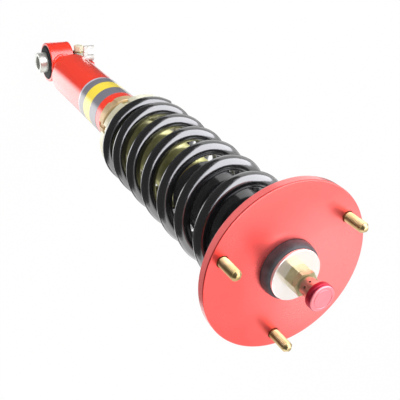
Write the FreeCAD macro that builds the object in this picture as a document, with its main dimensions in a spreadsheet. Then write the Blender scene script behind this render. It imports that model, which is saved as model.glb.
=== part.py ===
import FreeCAD, Part
import math
import os
import re

import Sketcher
from FreeCAD import Placement, Rotation, Vector

# Coilover strut: a threaded damper with a red top plate, an open coil spring
# and a lower tube that ends in a rubber bushed eye. The origin is the centre of
# the eye, +Z runs up the damper's axis to the top plate, and X is the eye's axis.

SIZES = [
    ("eye_to_plate", 498.5, "eye centre to the plate's mating face"),
    ("bore_clearance", 0.1, "radial gap of a ring on the shaft that carries it"),
    ("running_clearance", 0.3, "radial gap between threaded or sliding pieces"),
    ("plate_radius", 66.0, "top plate"),
    ("plate_thickness", 7.2, "top plate"),
    ("plate_edge", 0.8, "bevel round the plate's rim"),
    ("neck_wall", 5.0, "rubber neck in the plate's hole"),
    ("neck_depth", 3.4, "how far each cushion reaches into that hole"),
    ("cushion_recess", 0.6, "shallow seat in the plate for the upper cushion"),
    ("stud_margin", 10.3, "circle of the three studs to the plate's rim"),
    ("stud_angle_first", 342.2, "degrees from X"),
    ("stud_angle_second", 86.5, "degrees from X"),
    ("stud_angle_third", 213.4, "degrees from X"),
    ("stud_radius", 4.0, "M8 stud"),
    ("stud_knurl", 0.3, "pressed shank beyond the stud's radius"),
    ("stud_reach", 20.0, "stud above the mating face"),
    ("stud_tip_length", 2.6, "lead in cone"),
    ("stud_tip_radius", 1.9, "end of the lead in cone"),
    ("stud_head_radius", 6.5, "pressed head under the plate"),
    ("stud_head_height", 2.6, "pressed head under the plate"),
    ("upper_cushion_radius", 22.2, "rubber ring above the plate"),
    ("upper_cushion_height", 8.5, "rubber ring above the plate"),
    ("upper_cushion_shoulder", 4.5, "straight side of that ring"),
    ("lower_cushion_radius", 30.0, "rubber ring under the plate"),
    ("lower_cushion_height", 6.0, "rubber ring under the plate"),
    ("washer_radius", 19.7, "washer above the upper cushion"),
    ("washer_thickness", 2.5, "washer above the upper cushion"),
    ("spacer_wall", 2.6, "steel sleeve through the cushions"),
    ("nut_wall", 2.5, "rod nuts, thread to flat"),
    ("nut_height", 7.4, "rod nut"),
    ("jam_nut_height", 4.0, "jam nut above it"),
    ("nut_bevel", 1.2, "bevel of the nuts' corners"),
    ("rod_radius", 8.0, "piston rod"),
    ("stub_step", 2.0, "rod to its threaded top"),
    ("piston_step", 2.0, "rod to its end in the piston"),
    ("collar_wall", 4.3, "click housing on the rod's end"),
    ("collar_height", 11.0, "click housing"),
    ("collar_bevel", 0.7, "click housing"),
    ("collar_hole_radius", 0.9, "small holes round the click housing"),
    ("collar_hole_height", 5.6, "their height on the click housing"),
    ("collar_hole_count", 8, "holes round the click housing"),
    ("collar_hole_turn", 20.0, "degrees from X to the first hole"),
    ("collar_hole_depth", 2.2, "holes round the click housing"),
    ("knob_gap", 1.2, "click housing to knob"),
    ("knob_radius", 10.1, "damping adjuster knob"),
    ("knob_height", 5.8, "damping adjuster knob"),
    ("knob_face_radius", 9.0, "flat front of the knob"),
    ("knob_groove", 0.6, "depth of the groove round the knob"),
    ("knob_groove_height", 3.6, "height of the groove on the knob"),
    ("adjuster_radius", 2.2, "rod that the knob turns"),
    ("adjuster_clearance", 0.4, "adjuster rod in the piston rod's drilling"),
    ("adjuster_tip_length", 6.0, "needle end of that rod"),
    ("adjuster_drop", 10.0, "needle below the piston's shoulder"),
    ("seat_margin", 0.2, "upper spring seat beyond the spring"),
    ("seat_thickness", 5.0, "upper spring seat"),
    ("pilot_depth", 12.0, "ring of the seat that centres the spring"),
    ("pilot_wall", 3.0, "ring of the seat that centres the spring"),
    ("pilot_clearance", 1.2, "spring round the rings that centre it"),
    ("dust_clearance", 2.8, "dust sleeve round the damper"),
    ("dust_wall", 1.4, "dust sleeve"),
    ("dust_gap", 3.0, "dust sleeve's lower edge above the damper"),
    ("bump_wall", 11.5, "bump stop round the rod"),
    ("bump_length", 44.0, "bump stop"),
    ("bump_tip_wall", 5.5, "bump stop's lower end"),
    ("bump_tip_length", 18.0, "tapered part of the bump stop"),
    ("wire_radius", 6.25, "spring wire"),
    ("spring_free_turns", 7.0, "turns between the closed ends"),
    ("spring_closed_turns", 0.44, "closed turn at each end"),
    ("spring_lead_turns", 0.22, "turns over which the pitch grows"),
    ("spring_phase", 38.5, "degrees from X where the lower closed turn ends"),
    ("spring_ground", 0.6, "wire ground off at each end"),
    ("thread_gap", 17.0, "bare thread between the two lock rings"),
    ("perch_margin", 3.95, "flange of the perch beyond the wire's middle"),
    ("perch_thickness", 9.0, "flange of the perch"),
    ("perch_wall", 7.8, "ring of the perch inside the spring"),
    ("perch_pilot_height", 7.0, "ring of the perch inside the spring"),
    ("perch_hub_wall", 4.2, "hub under the flange"),
    ("perch_hub_height", 6.0, "hub under the flange"),
    ("perch_bevel", 1.0, "bevels of the perch"),
    ("perch_notch_count", 8, "spanner notches round the perch"),
    ("perch_notch_turn", 26.0, "degrees from X to the first notch"),
    ("perch_notch_width", 6.5, "spanner notch"),
    ("perch_notch_depth", 3.5, "spanner notch"),
    ("lock_ring_wall", 2.9, "both lock rings"),
    ("lock_ring_height", 10.5, "both lock rings"),
    ("lock_ring_bevel", 0.7, "both lock rings"),
    ("lock_notch_count", 6, "spanner notches round a lock ring"),
    ("lock_notch_width", 5.0, "spanner notch"),
    ("lock_notch_depth", 1.4, "spanner notch"),
    ("body_radius", 22.5, "threaded damper tube"),
    ("body_wall", 2.5, "threaded damper tube"),
    ("body_foot_height", 70.0, "lowest point of the damper"),
    ("body_length", 298.0, "damper tube with its base plug's flange"),
    ("plug_flange", 4.0, "base plug's flange"),
    ("plug_depth", 12.0, "base plug in the tube"),
    ("plug_wall", 6.0, "floor of the base plug"),
    ("gland_cap_height", 3.6, "gland nut above the tube"),
    ("gland_plug_height", 4.5, "gland nut in the tube"),
    ("gland_bevel", 1.0, "gland nut"),
    ("gland_hole_radius", 1.9, "pin spanner holes in the gland nut"),
    ("gland_hole_depth", 2.6, "pin spanner holes in the gland nut"),
    ("gland_hole_count", 4, "pin spanner holes in the gland nut"),
    ("gland_hole_turn", 25.0, "degrees from X to the first of those holes"),
    ("seal_height", 4.0, "rod seal"),
    ("guide_height", 18.0, "rod guide"),
    ("piston_headroom", 18.5, "rod guide to the piston's shims"),
    ("shim_width", 7.9, "valve shims round the rod"),
    ("shim_thickness", 1.2, "valve shims, as one stack"),
    ("piston_gap", 1.1, "piston to the tube that it slides in"),
    ("piston_height", 15.0, "piston"),
    ("band_seat", 0.9, "groove for the slide band"),
    ("band_height", 8.0, "slide band round the piston"),
    ("piston_nut_wall", 2.5, "nut under the piston, thread to flat"),
    ("piston_nut_height", 7.0, "nut under the piston"),
    ("gas_space", 42.0, "base plug to the floating piston"),
    ("gas_piston_height", 16.0, "floating piston"),
    ("gas_piston_floor", 5.0, "floating piston's floor"),
    ("gas_piston_wall", 3.0, "floating piston's skirt"),
    ("tube_wall", 2.2, "lower tube round the damper's thread"),
    ("tube_top_height", 207.5, "upper end of the lower tube"),
    ("tube_foot_height", 55.0, "lower end of the lower tube"),
    ("tube_floor", 8.0, "closed foot of the lower tube"),
    ("tube_bevel", 1.5, "bevel round the foot"),
    ("tube_rim_bevel", 0.6, "bevel of the upper rim"),
    ("eye_bore_radius", 8.1, "steel sleeve's bore, for an M16 bolt"),
    ("eye_sleeve_wall", 3.9, "steel sleeve in the rubber bush"),
    ("eye_sleeve_length", 50.0, "steel sleeve in the rubber bush"),
    ("eye_sleeve_bevel", 0.8, "steel sleeve in the rubber bush"),
    ("bush_wall", 5.0, "rubber between the sleeve and the ring"),
    ("bush_clearance", 0.05, "rubber to its neighbours, and studs to the plate"),
    ("bush_lip_reach", 3.6, "rubber lip up the ring's face"),
    ("bush_lip_width", 1.4, "rubber lips beside the ring"),
    ("eye_neck_radius", 13.4, "neck between the tube's foot and the eye ring"),
    ("eye_neck_flare", 2.0, "neck's spread under the tube's foot"),
    ("eye_ring_wall", 6.4, "eye ring welded under the neck"),
    ("eye_ring_width", 28.0, "eye ring along X"),
    ("eye_ring_bevel", 0.6, "eye ring's outer edges"),
    ("hose_turn", 180.0, "degrees from X to the hose bracket"),
    ("hose_side", 12.5, "tube's axis to the face that the hose bracket is bolted against"),
    ("hose_gap", 0.4, "hose bracket to the bush's lip, along X"),
    ("hose_foot_height", 10.0, "lower end of the hose bracket"),
    ("hose_length", 41.0, "hose bracket along the tube"),
    ("hose_width", 12.4, "hose bracket away from the ring"),
    ("hose_thickness", 3.0, "hose bracket's steel"),
    ("hose_bend", 2.0, "inner radius of its bend"),
    ("hose_leaf", 19.0, "turned leaf of the hose bracket"),
    ("hose_slot_width", 8.0, "open slot of the turned leaf"),
    ("hose_slot_depth", 8.0, "open slot of the turned leaf"),
    ("lug_thickness", 5.0, "lug under the tube's foot that carries the hose bracket"),
    ("lug_margin", 1.0, "lug short of the hose bracket's edge"),
    ("bracket_bolt_radius", 3.0, "bolt of the hose bracket"),
    ("bracket_bolt_wall", 2.2, "head of that bolt, shank to flat"),
    ("bracket_bolt_head", 6.5, "head of that bolt"),
    ("bracket_bolt_flange", 6.2, "flange under the head"),
    ("bracket_bolt_flange_height", 1.2, "flange under the head"),
    ("bracket_bolt_out", 5.2, "bolt to the hose bracket's inner edge"),
    ("bracket_bolt_up", 7.0, "bolt above the hose bracket's lower end"),
]

doc = FreeCAD.newDocument("coilover")
sheet = doc.addObject("Spreadsheet::Sheet", "Sizes")
for row, (alias, number, meaning) in enumerate(SIZES, start=1):
    sheet.set(f"A{row}", str(number))
    sheet.setAlias(f"A{row}", alias)
    sheet.set(f"B{row}", meaning)
doc.recompute()
ALIASES = {alias for alias, number, meaning in SIZES}

# Heights above the eye, each worked out from the piece that carries the next
PLATE_UNDER = "(eye_to_plate - plate_thickness)"
SEAT_TOP = f"({PLATE_UNDER} - lower_cushion_height)"
SEAT_UNDER = f"({SEAT_TOP} - seat_thickness)"
WASHER_UNDER = "(eye_to_plate + upper_cushion_height)"
NUT_UNDER = f"({WASHER_UNDER} + washer_thickness)"
JAM_UNDER = f"({NUT_UNDER} + nut_height)"
COLLAR_UNDER = f"({JAM_UNDER} + jam_nut_height)"
KNOB_UNDER = f"({COLLAR_UNDER} + collar_height + knob_gap)"
PERCH_UNDER = "(tube_top_height + lock_ring_height + thread_gap + lock_ring_height)"
PERCH_SEAT = f"({PERCH_UNDER} + perch_hub_height + perch_thickness)"
BODY_TOP = "(body_foot_height + body_length)"
GLAND_TOP = f"({BODY_TOP} + gland_cap_height)"
SEAL_TOP = f"({BODY_TOP} - gland_plug_height)"
GUIDE_TOP = f"({SEAL_TOP} - seal_height)"
GUIDE_UNDER = f"({GUIDE_TOP} - guide_height)"
ROD_SHOULDER = f"({GUIDE_UNDER} - piston_headroom)"
PISTON_TOP = f"({ROD_SHOULDER} - shim_thickness)"
PISTON_UNDER = f"({PISTON_TOP} - piston_height)"
PISTON_NUT_TOP = f"({PISTON_UNDER} - shim_thickness)"
ROD_FOOT = f"({PISTON_NUT_TOP} - piston_nut_height)"
PLUG_TOP = "(body_foot_height + plug_flange + plug_depth)"

# Radii that more than one piece shares, each worked out from the piece inside it
STUB = "(rod_radius - stub_step)"
STUB_BORE = f"({STUB} + bore_clearance)"
PISTON_STUB = "(rod_radius - piston_step)"
PISTON_BORE = f"({PISTON_STUB} + bore_clearance)"
ROD_BORE = "(adjuster_radius + adjuster_clearance)"
ON_ROD = "(rod_radius + running_clearance)"
BODY_BORE = "(body_radius - body_wall)"
BODY_PLUG = f"({BODY_BORE} - bore_clearance)"
ON_BODY = "(body_radius + running_clearance)"
TUBE = f"({ON_BODY} + tube_wall)"
SPACER = f"({STUB_BORE} + spacer_wall)"
CUSHION_BORE = f"({SPACER} + bore_clearance)"
NECK = f"({CUSHION_BORE} + neck_wall)"
NECK_HOLE = f"({NECK} + running_clearance)"
STUD_CIRCLE = "(plate_radius - stud_margin)"
PILOT = f"({ON_BODY} + perch_wall)"
SPRING_MIDDLE = f"({PILOT} + pilot_clearance + wire_radius)"
PERCH = f"({SPRING_MIDDLE} + perch_margin)"
SEAT = f"({SPRING_MIDDLE} + wire_radius + seat_margin)"
DUST_BORE = "(body_radius + dust_clearance)"
PISTON = f"({BODY_BORE} - piston_gap)"
SLIDER = f"({BODY_BORE} - running_clearance)"
LOCK_RING = f"({ON_BODY} + lock_ring_wall)"
EYE_SLEEVE = "(eye_bore_radius + eye_sleeve_wall)"
EYE_RING_BORE = f"({EYE_SLEEVE} + bush_wall)"
EYE_RING = f"({EYE_RING_BORE} + eye_ring_wall)"
HOSE_INNER = "(eye_ring_width / 2 + bush_lip_width + hose_gap)"
HOSE_OUTER = f"({HOSE_INNER} + hose_width)"
BOLT_OUT = f"({HOSE_INNER} + bracket_bolt_out)"
BOLT_UP = "(hose_foot_height + bracket_bolt_up)"


def cells(text):
    """The text as an expression on the sheet: each alias gets the sheet's name."""
    return re.sub(r"[a-z][a-z_]*", lambda m: f"Sizes.{m[0]}" if m[0] in ALIASES else m[0], text)


def size(text):
    """The number that an expression on the sheet comes to."""
    return float(sheet.evalExpression(cells(text)))


def new_body(label, height="0", turn=None):
    """An empty body whose origin stands at a height on the damper's axis, turned about it."""
    body = doc.addObject("PartDesign::Body", label)
    body.Label = label
    if turn:
        body.Placement = Placement(Vector(), Rotation(Vector(0, 0, 1), size(turn)))
        body.setExpression(".Placement.Rotation.Angle", cells(turn))
    body.setExpression(".Placement.Base.z", cells(height))
    return body


def new_sketch(body, name, plane, turn=None, lift=None):
    """A sketch on one of the body's own origin planes, turned and lifted if asked."""
    sketch = body.newObject("Sketcher::SketchObject", f"{body.Name}_{name}")
    faces = [f for f in body.Origin.OriginFeatures if f.Role == plane]
    sketch.AttachmentSupport = [(faces[0], "")]
    sketch.MapMode = "FlatFace"
    if turn:
        sketch.AttachmentOffset = Placement(Vector(), Rotation(Vector(0, 0, 1), size(turn)))
        sketch.setExpression(".AttachmentOffset.Rotation.Angle", cells(turn))
    if lift:
        sketch.setExpression(".AttachmentOffset.Base.z", cells(lift))
    return sketch


def hold(sketch, kind, edge, corner, text):
    """Fixes one coordinate of an edge's corner to an expression, measured from the origin."""
    number = size(text)
    rank = sketch.addConstraint(Sketcher.Constraint(kind, -1, 1, edge, corner, number))
    sketch.setExpression(f"Constraints[{rank}]", cells(text))


def draw_outline(sketch, corners):
    """A closed outline, drawn counterclockwise through corners of (across, up). Where a corner
    is (across, up, radius), the side that arrives at it is an arc that bulges outwards, and
    where it is (across, up, radius, "in"), an arc that bulges inwards."""
    places = [Vector(size(corner[0]), size(corner[1]), 0) for corner in corners]
    sides = []
    for index, here in enumerate(places):
        there = places[(index + 1) % len(corners)]
        target = corners[(index + 1) % len(corners)]
        if len(target) == 2:
            sketch.addGeometry(Part.LineSegment(here, there), False)
            sides.append((1, 2, None))
            continue
        hollow = len(target) == 4
        chord = there - here
        radius = size(target[2])
        sagitta = radius - math.sqrt(radius**2 - chord.Length**2 / 4)
        outward = Vector(chord.y, -chord.x, 0).normalize()
        middle = (here + there) / 2 + outward * (-sagitta if hollow else sagitta)
        sketch.addGeometry(Part.Arc(here, middle, there), False)
        sides.append((2, 1, target[2]) if hollow else (1, 2, target[2]))
    for index, (start, end, radius) in enumerate(sides):
        after = (index + 1) % len(sides)
        sketch.addConstraint(Sketcher.Constraint("Coincident", index, end, after, sides[after][0]))
        hold(sketch, "DistanceX", index, start, corners[index][0])
        hold(sketch, "DistanceY", index, start, corners[index][1])
        if radius:
            hold_radius(sketch, index, radius)


def hold_radius(sketch, edge, text):
    """Fixes a circle's or an arc's radius to an expression."""
    rank = sketch.addConstraint(Sketcher.Constraint("Radius", edge, size(text)))
    sketch.setExpression(f"Constraints[{rank}]", cells(text))


def turned(label, corners, height="0", turn=None, plane="XZ_Plane", axis="V_Axis"):
    """A piece turned from an outline of (radius, height) corners, about Z unless told otherwise."""
    body = new_body(label, height, turn)
    sketch = new_sketch(body, "outline", plane)
    draw_outline(sketch, corners)
    revolution = body.newObject("PartDesign::Revolution", f"{label}_turned")
    revolution.Profile = sketch
    revolution.ReferenceAxis = (sketch, [axis])
    revolution.Angle = 360
    return body


def groove(body, name, corners):
    """Cuts a turned groove out of a body."""
    sketch = new_sketch(body, name, "XZ_Plane")
    draw_outline(sketch, corners)
    cut = body.newObject("PartDesign::Groove", f"{body.Name}_{name}_cut")
    cut.Profile = sketch
    cut.ReferenceAxis = (sketch, ["V_Axis"])
    cut.Angle = 360


def raise_from(body, sketch, length):
    """Pads a sketch along its normal."""
    pad = body.newObject("PartDesign::Pad", f"{sketch.Name}_pad")
    pad.Profile = sketch
    pad.setExpression("Length", cells(length))


def cut_from(body, sketch, length, both_ways=False):
    """Pockets a sketch along its normal, or half the length each way if asked."""
    pocket = body.newObject("PartDesign::Pocket", f"{sketch.Name}_cut")
    pocket.Profile = sketch
    pocket.Midplane = both_ways
    pocket.Reversed = not both_ways
    pocket.setExpression("Length", cells(length))
    return pocket


def draw_circle(sketch, across, up, radius):
    """A circle held by its centre and radius."""
    edge = sketch.addGeometry(Part.Circle(Vector(size(across), size(up), 0), Vector(0, 0, 1), size(radius)))
    hold(sketch, "DistanceX", edge, 3, across)
    hold(sketch, "DistanceY", edge, 3, up)
    hold_radius(sketch, edge, radius)


def draw_box(sketch, left, right, low, high):
    """A rectangle held by its sides."""
    draw_outline(sketch, [(left, low), (right, low), (right, high), (left, high)])


def repeat_round(body, feature, count):
    """Repeats a feature evenly about Z."""
    pattern = body.newObject("PartDesign::PolarPattern", f"{feature.Name}_round")
    pattern.Originals = [feature]
    axes = [f for f in body.Origin.OriginFeatures if f.Role == "Z_Axis"]
    pattern.Axis = (axes[0], [""])
    pattern.Angle = 360
    pattern.setExpression("Occurrences", cells(count))
    body.Tip = pattern


def hexagon(body, flats, length):
    """A six sided prism on the body's XY plane."""
    prism = body.newObject("PartDesign::AdditivePrism", f"{body.Name}_prism")
    prism.Polygon = 6
    prism.setExpression("Circumradius", cells(f"{flats} / sqrt(3)"))
    prism.setExpression("Height", cells(length))
    return prism


def bore(body, radius, length):
    """Drills a body along Z from its XY plane upwards."""
    sketch = new_sketch(body, "bore", "XY_Plane")
    draw_circle(sketch, "0", "0", radius)
    cut_from(body, sketch, length)


def hex_nut(label, height, flats, length, hole, bevel_under=False):
    """A hexagon nut with its corners bevelled above, or below if asked."""
    body = new_body(label, height)
    hexagon(body, flats, length)
    bore(body, hole, length)
    inner, outer = f"{flats} / 2", f"{flats} / 2 + 2 * nut_bevel"
    if bevel_under:
        corners = [(inner, "0"), (outer, "0"), (outer, "nut_bevel")]
    else:
        corners = [(inner, length), (outer, f"{length} - nut_bevel"), (outer, length)]
    groove(body, "bevel", corners)


# Top mount


def build_top_plate():
    """Round plate with a bevelled rim, a recess for the rubber and three stud holes."""
    body = turned("top_plate", [
        (NECK_HOLE, "0"),
        ("plate_radius - plate_edge", "0"),
        ("plate_radius", "plate_edge"),
        ("plate_radius", "plate_thickness - plate_edge"),
        ("plate_radius - plate_edge", "plate_thickness"),
        ("upper_cushion_radius + running_clearance", "plate_thickness"),
        ("upper_cushion_radius + running_clearance", "plate_thickness - cushion_recess"),
        (NECK_HOLE, "plate_thickness - cushion_recess"),
    ], PLATE_UNDER)
    for name in ("first", "second", "third"):
        sketch = new_sketch(body, f"stud_{name}", "XY_Plane", turn=f"stud_angle_{name}")
        draw_circle(sketch, STUD_CIRCLE, "0", "stud_radius + stud_knurl + bush_clearance")
        cut_from(body, sketch, "plate_thickness")


def build_studs():
    """Three studs pressed in from below, their heads against the plate."""
    for name in ("first", "second", "third"):
        body = turned(f"stud_{name}", [
            ("0", "0"),
            ("stud_head_radius", "0"),
            ("stud_head_radius", "stud_head_height"),
            ("stud_radius + stud_knurl", "stud_head_height"),
            ("stud_radius + stud_knurl", "stud_head_height + plate_thickness"),
            ("stud_radius", "stud_head_height + plate_thickness"),
            ("stud_radius", "stud_head_height + plate_thickness + stud_reach - stud_tip_length"),
            ("stud_tip_radius", "stud_head_height + plate_thickness + stud_reach"),
            ("0", "stud_head_height + plate_thickness + stud_reach"),
        ], f"{PLATE_UNDER} - stud_head_height")
        body.setExpression(".Placement.Base.x", cells(f"{STUD_CIRCLE} * cos(stud_angle_{name})"))
        body.setExpression(".Placement.Base.y", cells(f"{STUD_CIRCLE} * sin(stud_angle_{name})"))


def build_cushions():
    """Rubber rings above and below the plate, each with a neck in the plate's hole."""
    turned("upper_cushion", [
        (CUSHION_BORE, "0"),
        (NECK, "0"),
        (NECK, "neck_depth - cushion_recess"),
        ("upper_cushion_radius", "neck_depth - cushion_recess"),
        ("upper_cushion_radius", "neck_depth + upper_cushion_shoulder"),
        ("washer_radius + running_clearance", "neck_depth + upper_cushion_height"),
        (CUSHION_BORE, "neck_depth + upper_cushion_height"),
    ], "eye_to_plate - neck_depth")
    turned("lower_cushion", [
        (CUSHION_BORE, "0"),
        ("lower_cushion_radius - lower_cushion_height / 4", "0"),
        ("lower_cushion_radius", "lower_cushion_height / 4"),
        ("lower_cushion_radius", "lower_cushion_height"),
        (NECK, "lower_cushion_height"),
        (NECK, "lower_cushion_height + neck_depth"),
        (CUSHION_BORE, "lower_cushion_height + neck_depth"),
    ], SEAT_TOP)


# Rod, its fittings above the plate and the spring seat under it


def build_rod_top():
    """Spacer sleeve, washer, nut, jam nut and the click housing on the rod's end."""
    stack = "(plate_thickness + lower_cushion_height + upper_cushion_height)"
    flats = f"(2 * {STUB} + 2 * nut_wall)"
    collar = f"({ROD_BORE} + collar_wall)"
    turned("spacer_sleeve", [
        (STUB_BORE, "0"), (SPACER, "0"), (SPACER, stack), (STUB_BORE, stack),
    ], SEAT_TOP)
    turned("upper_washer", [
        (STUB_BORE, "0"),
        ("washer_radius", "0"),
        ("washer_radius", "washer_thickness"),
        (STUB_BORE, "washer_thickness"),
    ], WASHER_UNDER)
    hex_nut("rod_nut", NUT_UNDER, flats, "nut_height", STUB_BORE)
    hex_nut("jam_nut", JAM_UNDER, flats, "jam_nut_height", STUB_BORE, bevel_under=True)
    body = turned("click_collar", [
        (ROD_BORE, "0"),
        (f"{collar} - collar_bevel", "0"),
        (collar, "collar_bevel"),
        (collar, "collar_height - collar_bevel"),
        (f"{collar} - collar_bevel", "collar_height"),
        (ROD_BORE, "collar_height"),
    ], COLLAR_UNDER, turn="collar_hole_turn")
    sketch = new_sketch(body, "hole", "YZ_Plane", lift=f"{collar} - collar_hole_depth")
    draw_circle(sketch, "0", "collar_hole_height", "collar_hole_radius")
    hole = cut_from(body, sketch, "2 * collar_hole_depth")
    repeat_round(body, hole, "collar_hole_count")


def build_rod():
    """Hollow piston rod: threaded stub at the top, shoulder and stub for the piston below."""
    foot, shoulder = "0", f"{ROD_SHOULDER} - {ROD_FOOT}"
    seat, top = f"{SEAT_UNDER} - {ROD_FOOT}", f"{COLLAR_UNDER} - {ROD_FOOT}"
    turned("piston_rod", [
        (ROD_BORE, foot),
        (PISTON_STUB, foot),
        (PISTON_STUB, shoulder),
        ("rod_radius", shoulder),
        ("rod_radius", seat),
        (STUB, seat),
        (STUB, top),
        (ROD_BORE, top),
    ], ROD_FOOT)


def build_spring_seat():
    """Upper spring seat with the ring that centres the spring."""
    turned("spring_seat", [
        (STUB_BORE, "pilot_depth"),
        (f"{PILOT} - pilot_wall", "pilot_depth"),
        (f"{PILOT} - pilot_wall", "0"),
        (PILOT, "0"),
        (PILOT, "pilot_depth"),
        (SEAT, "pilot_depth"),
        (SEAT, "pilot_depth + seat_thickness"),
        (STUB_BORE, "pilot_depth + seat_thickness"),
    ], f"{SEAT_UNDER} - pilot_depth")


def build_dust_sleeve_and_bump_stop():
    """Sleeve that hangs from the seat round the rod, with the bump stop inside it."""
    length = f"({SEAT_UNDER} - {GLAND_TOP} - dust_gap)"
    turned("dust_sleeve", [
        (DUST_BORE, "0"),
        (f"{DUST_BORE} + dust_wall", "0"),
        (f"{DUST_BORE} + dust_wall", length),
        ("rod_radius + bore_clearance", length),
        ("rod_radius + bore_clearance", f"{length} - dust_wall"),
        (DUST_BORE, f"{length} - dust_wall"),
    ], f"{GLAND_TOP} + dust_gap")
    turned("bump_stop", [
        ("rod_radius + bore_clearance", "0"),
        ("rod_radius + bump_tip_wall", "0"),
        ("rod_radius + bump_wall", "bump_tip_length"),
        ("rod_radius + bump_wall", "bump_length"),
        ("rod_radius + bore_clearance", "bump_length"),
    ], f"{SEAT_UNDER} - dust_wall - bump_length")


def build_adjuster():
    """Knob above the click housing, and the needle rod that it turns inside the rod."""
    turned("adjuster_knob", [
        ("adjuster_radius + bore_clearance", "0"),
        ("knob_radius", "0"),
        ("knob_radius", "knob_groove_height - knob_groove"),
        ("knob_radius - knob_groove", "knob_groove_height"),
        ("knob_radius", "knob_groove_height + knob_groove"),
        ("knob_radius", "knob_height - knob_radius + knob_face_radius"),
        ("knob_face_radius", "knob_height"),
        ("0", "knob_height"),
        ("0", "knob_height / 2"),
        ("adjuster_radius + bore_clearance", "knob_height / 2"),
    ], KNOB_UNDER)
    foot = f"({ROD_SHOULDER} - adjuster_drop)"
    top = f"{KNOB_UNDER} + knob_height / 2 - {foot}"
    turned("adjuster_rod", [
        ("0", "0"),
        ("adjuster_radius", "adjuster_tip_length"),
        ("adjuster_radius", top),
        ("0", top),
    ], foot)


# Piston on the rod's lower end


def build_piston():
    """Piston with its band, a shim stack on each side and the nut below."""
    recess = "(piston_height / 2 - band_height / 2)"
    groove_floor = f"({PISTON} - band_seat)"
    shims = f"({PISTON_BORE} + shim_width)"
    turned("piston", [
        (PISTON_BORE, "0"),
        (PISTON, "0"),
        (PISTON, recess),
        (groove_floor, recess),
        (groove_floor, f"{recess} + band_height"),
        (PISTON, f"{recess} + band_height"),
        (PISTON, "piston_height"),
        (PISTON_BORE, "piston_height"),
    ], PISTON_UNDER)
    turned("piston_band", [
        (f"{groove_floor} + bore_clearance", "0"),
        (SLIDER, "0"),
        (SLIDER, "band_height"),
        (f"{groove_floor} + bore_clearance", "band_height"),
    ], f"{PISTON_UNDER} + {recess}")
    for label, height in (("rebound_shims", PISTON_NUT_TOP), ("compression_shims", PISTON_TOP)):
        turned(label, [
            (PISTON_BORE, "0"), (shims, "0"), (shims, "shim_thickness"), (PISTON_BORE, "shim_thickness"),
        ], height)
    body = new_body("piston_nut", ROD_FOOT)
    hexagon(body, f"(2 * {PISTON_STUB} + 2 * piston_nut_wall)", "piston_nut_height")
    bore(body, PISTON_BORE, "piston_nut_height")


# Spring and its perch


def spring_rise(turns):
    """How far the wire has climbed after some turns of the lower closed end, in pitches."""
    lead, free = size("spring_lead_turns"), size("spring_free_turns")
    if turns <= 0:
        return 0.0
    if turns < lead:
        return turns**2 / (2 * lead)
    if turns <= free - lead:
        return turns - lead / 2
    if turns < free:
        return free - lead - (free - turns) ** 2 / (2 * lead)
    return free - lead


def spring_middle(low, pitch, turns):
    """A point on the middle of the wire."""
    angle = math.radians(size("spring_phase")) + 2 * math.pi * turns
    radius = size(SPRING_MIDDLE)
    return Vector(radius * math.cos(angle), radius * math.sin(angle), low + pitch * spring_rise(turns))


def arcs_between(start, start_way, end, end_way):
    """Two arcs that leave start along start_way and arrive at end along end_way."""
    chord, both = end - start, start_way + end_way
    spread = 2 * (1 - start_way.dot(end_way))
    reach = (math.sqrt(chord.dot(both) ** 2 + spread * chord.dot(chord)) - chord.dot(both)) / spread
    first, second = start + start_way * reach, end - end_way * reach
    joint = (first + second) / 2
    arcs = []
    for near, corner, far in ((start, first, joint), (joint, second, end)):
        middle = (near + far) / 2
        weight = (middle - near).Length / (corner - near).Length
        arcs.append(Part.Arc(near, (middle + corner * weight) / (1 + weight), far).toShape())
    return arcs


def wire_section(middle, way, radius):
    """An eight sided section of the wire, of about the round wire's area, as a closed polygon."""
    sides = 8
    outward = Vector(middle.x, middle.y, 0).normalize()
    across = way.cross(outward)
    reach = radius / math.cos(math.pi / sides) ** 0.5
    rim = []
    for side in range(sides + 1):
        angle = 2 * math.pi * (side % sides + 0.5) / sides
        rim.append(middle + outward * (reach * math.cos(angle)) + across * (reach * math.sin(angle)))
    return Part.makePolygon(rim)


def least_gap(points, apart, width):
    """The least gap between parts of a wire that are at least so many points apart."""
    gap = min(
        (points[n] - points[other]).Length
        for n in range(len(points))
        for other in range(n + apart, min(n + 2 * apart, len(points)))
    )
    return gap - width


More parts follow.
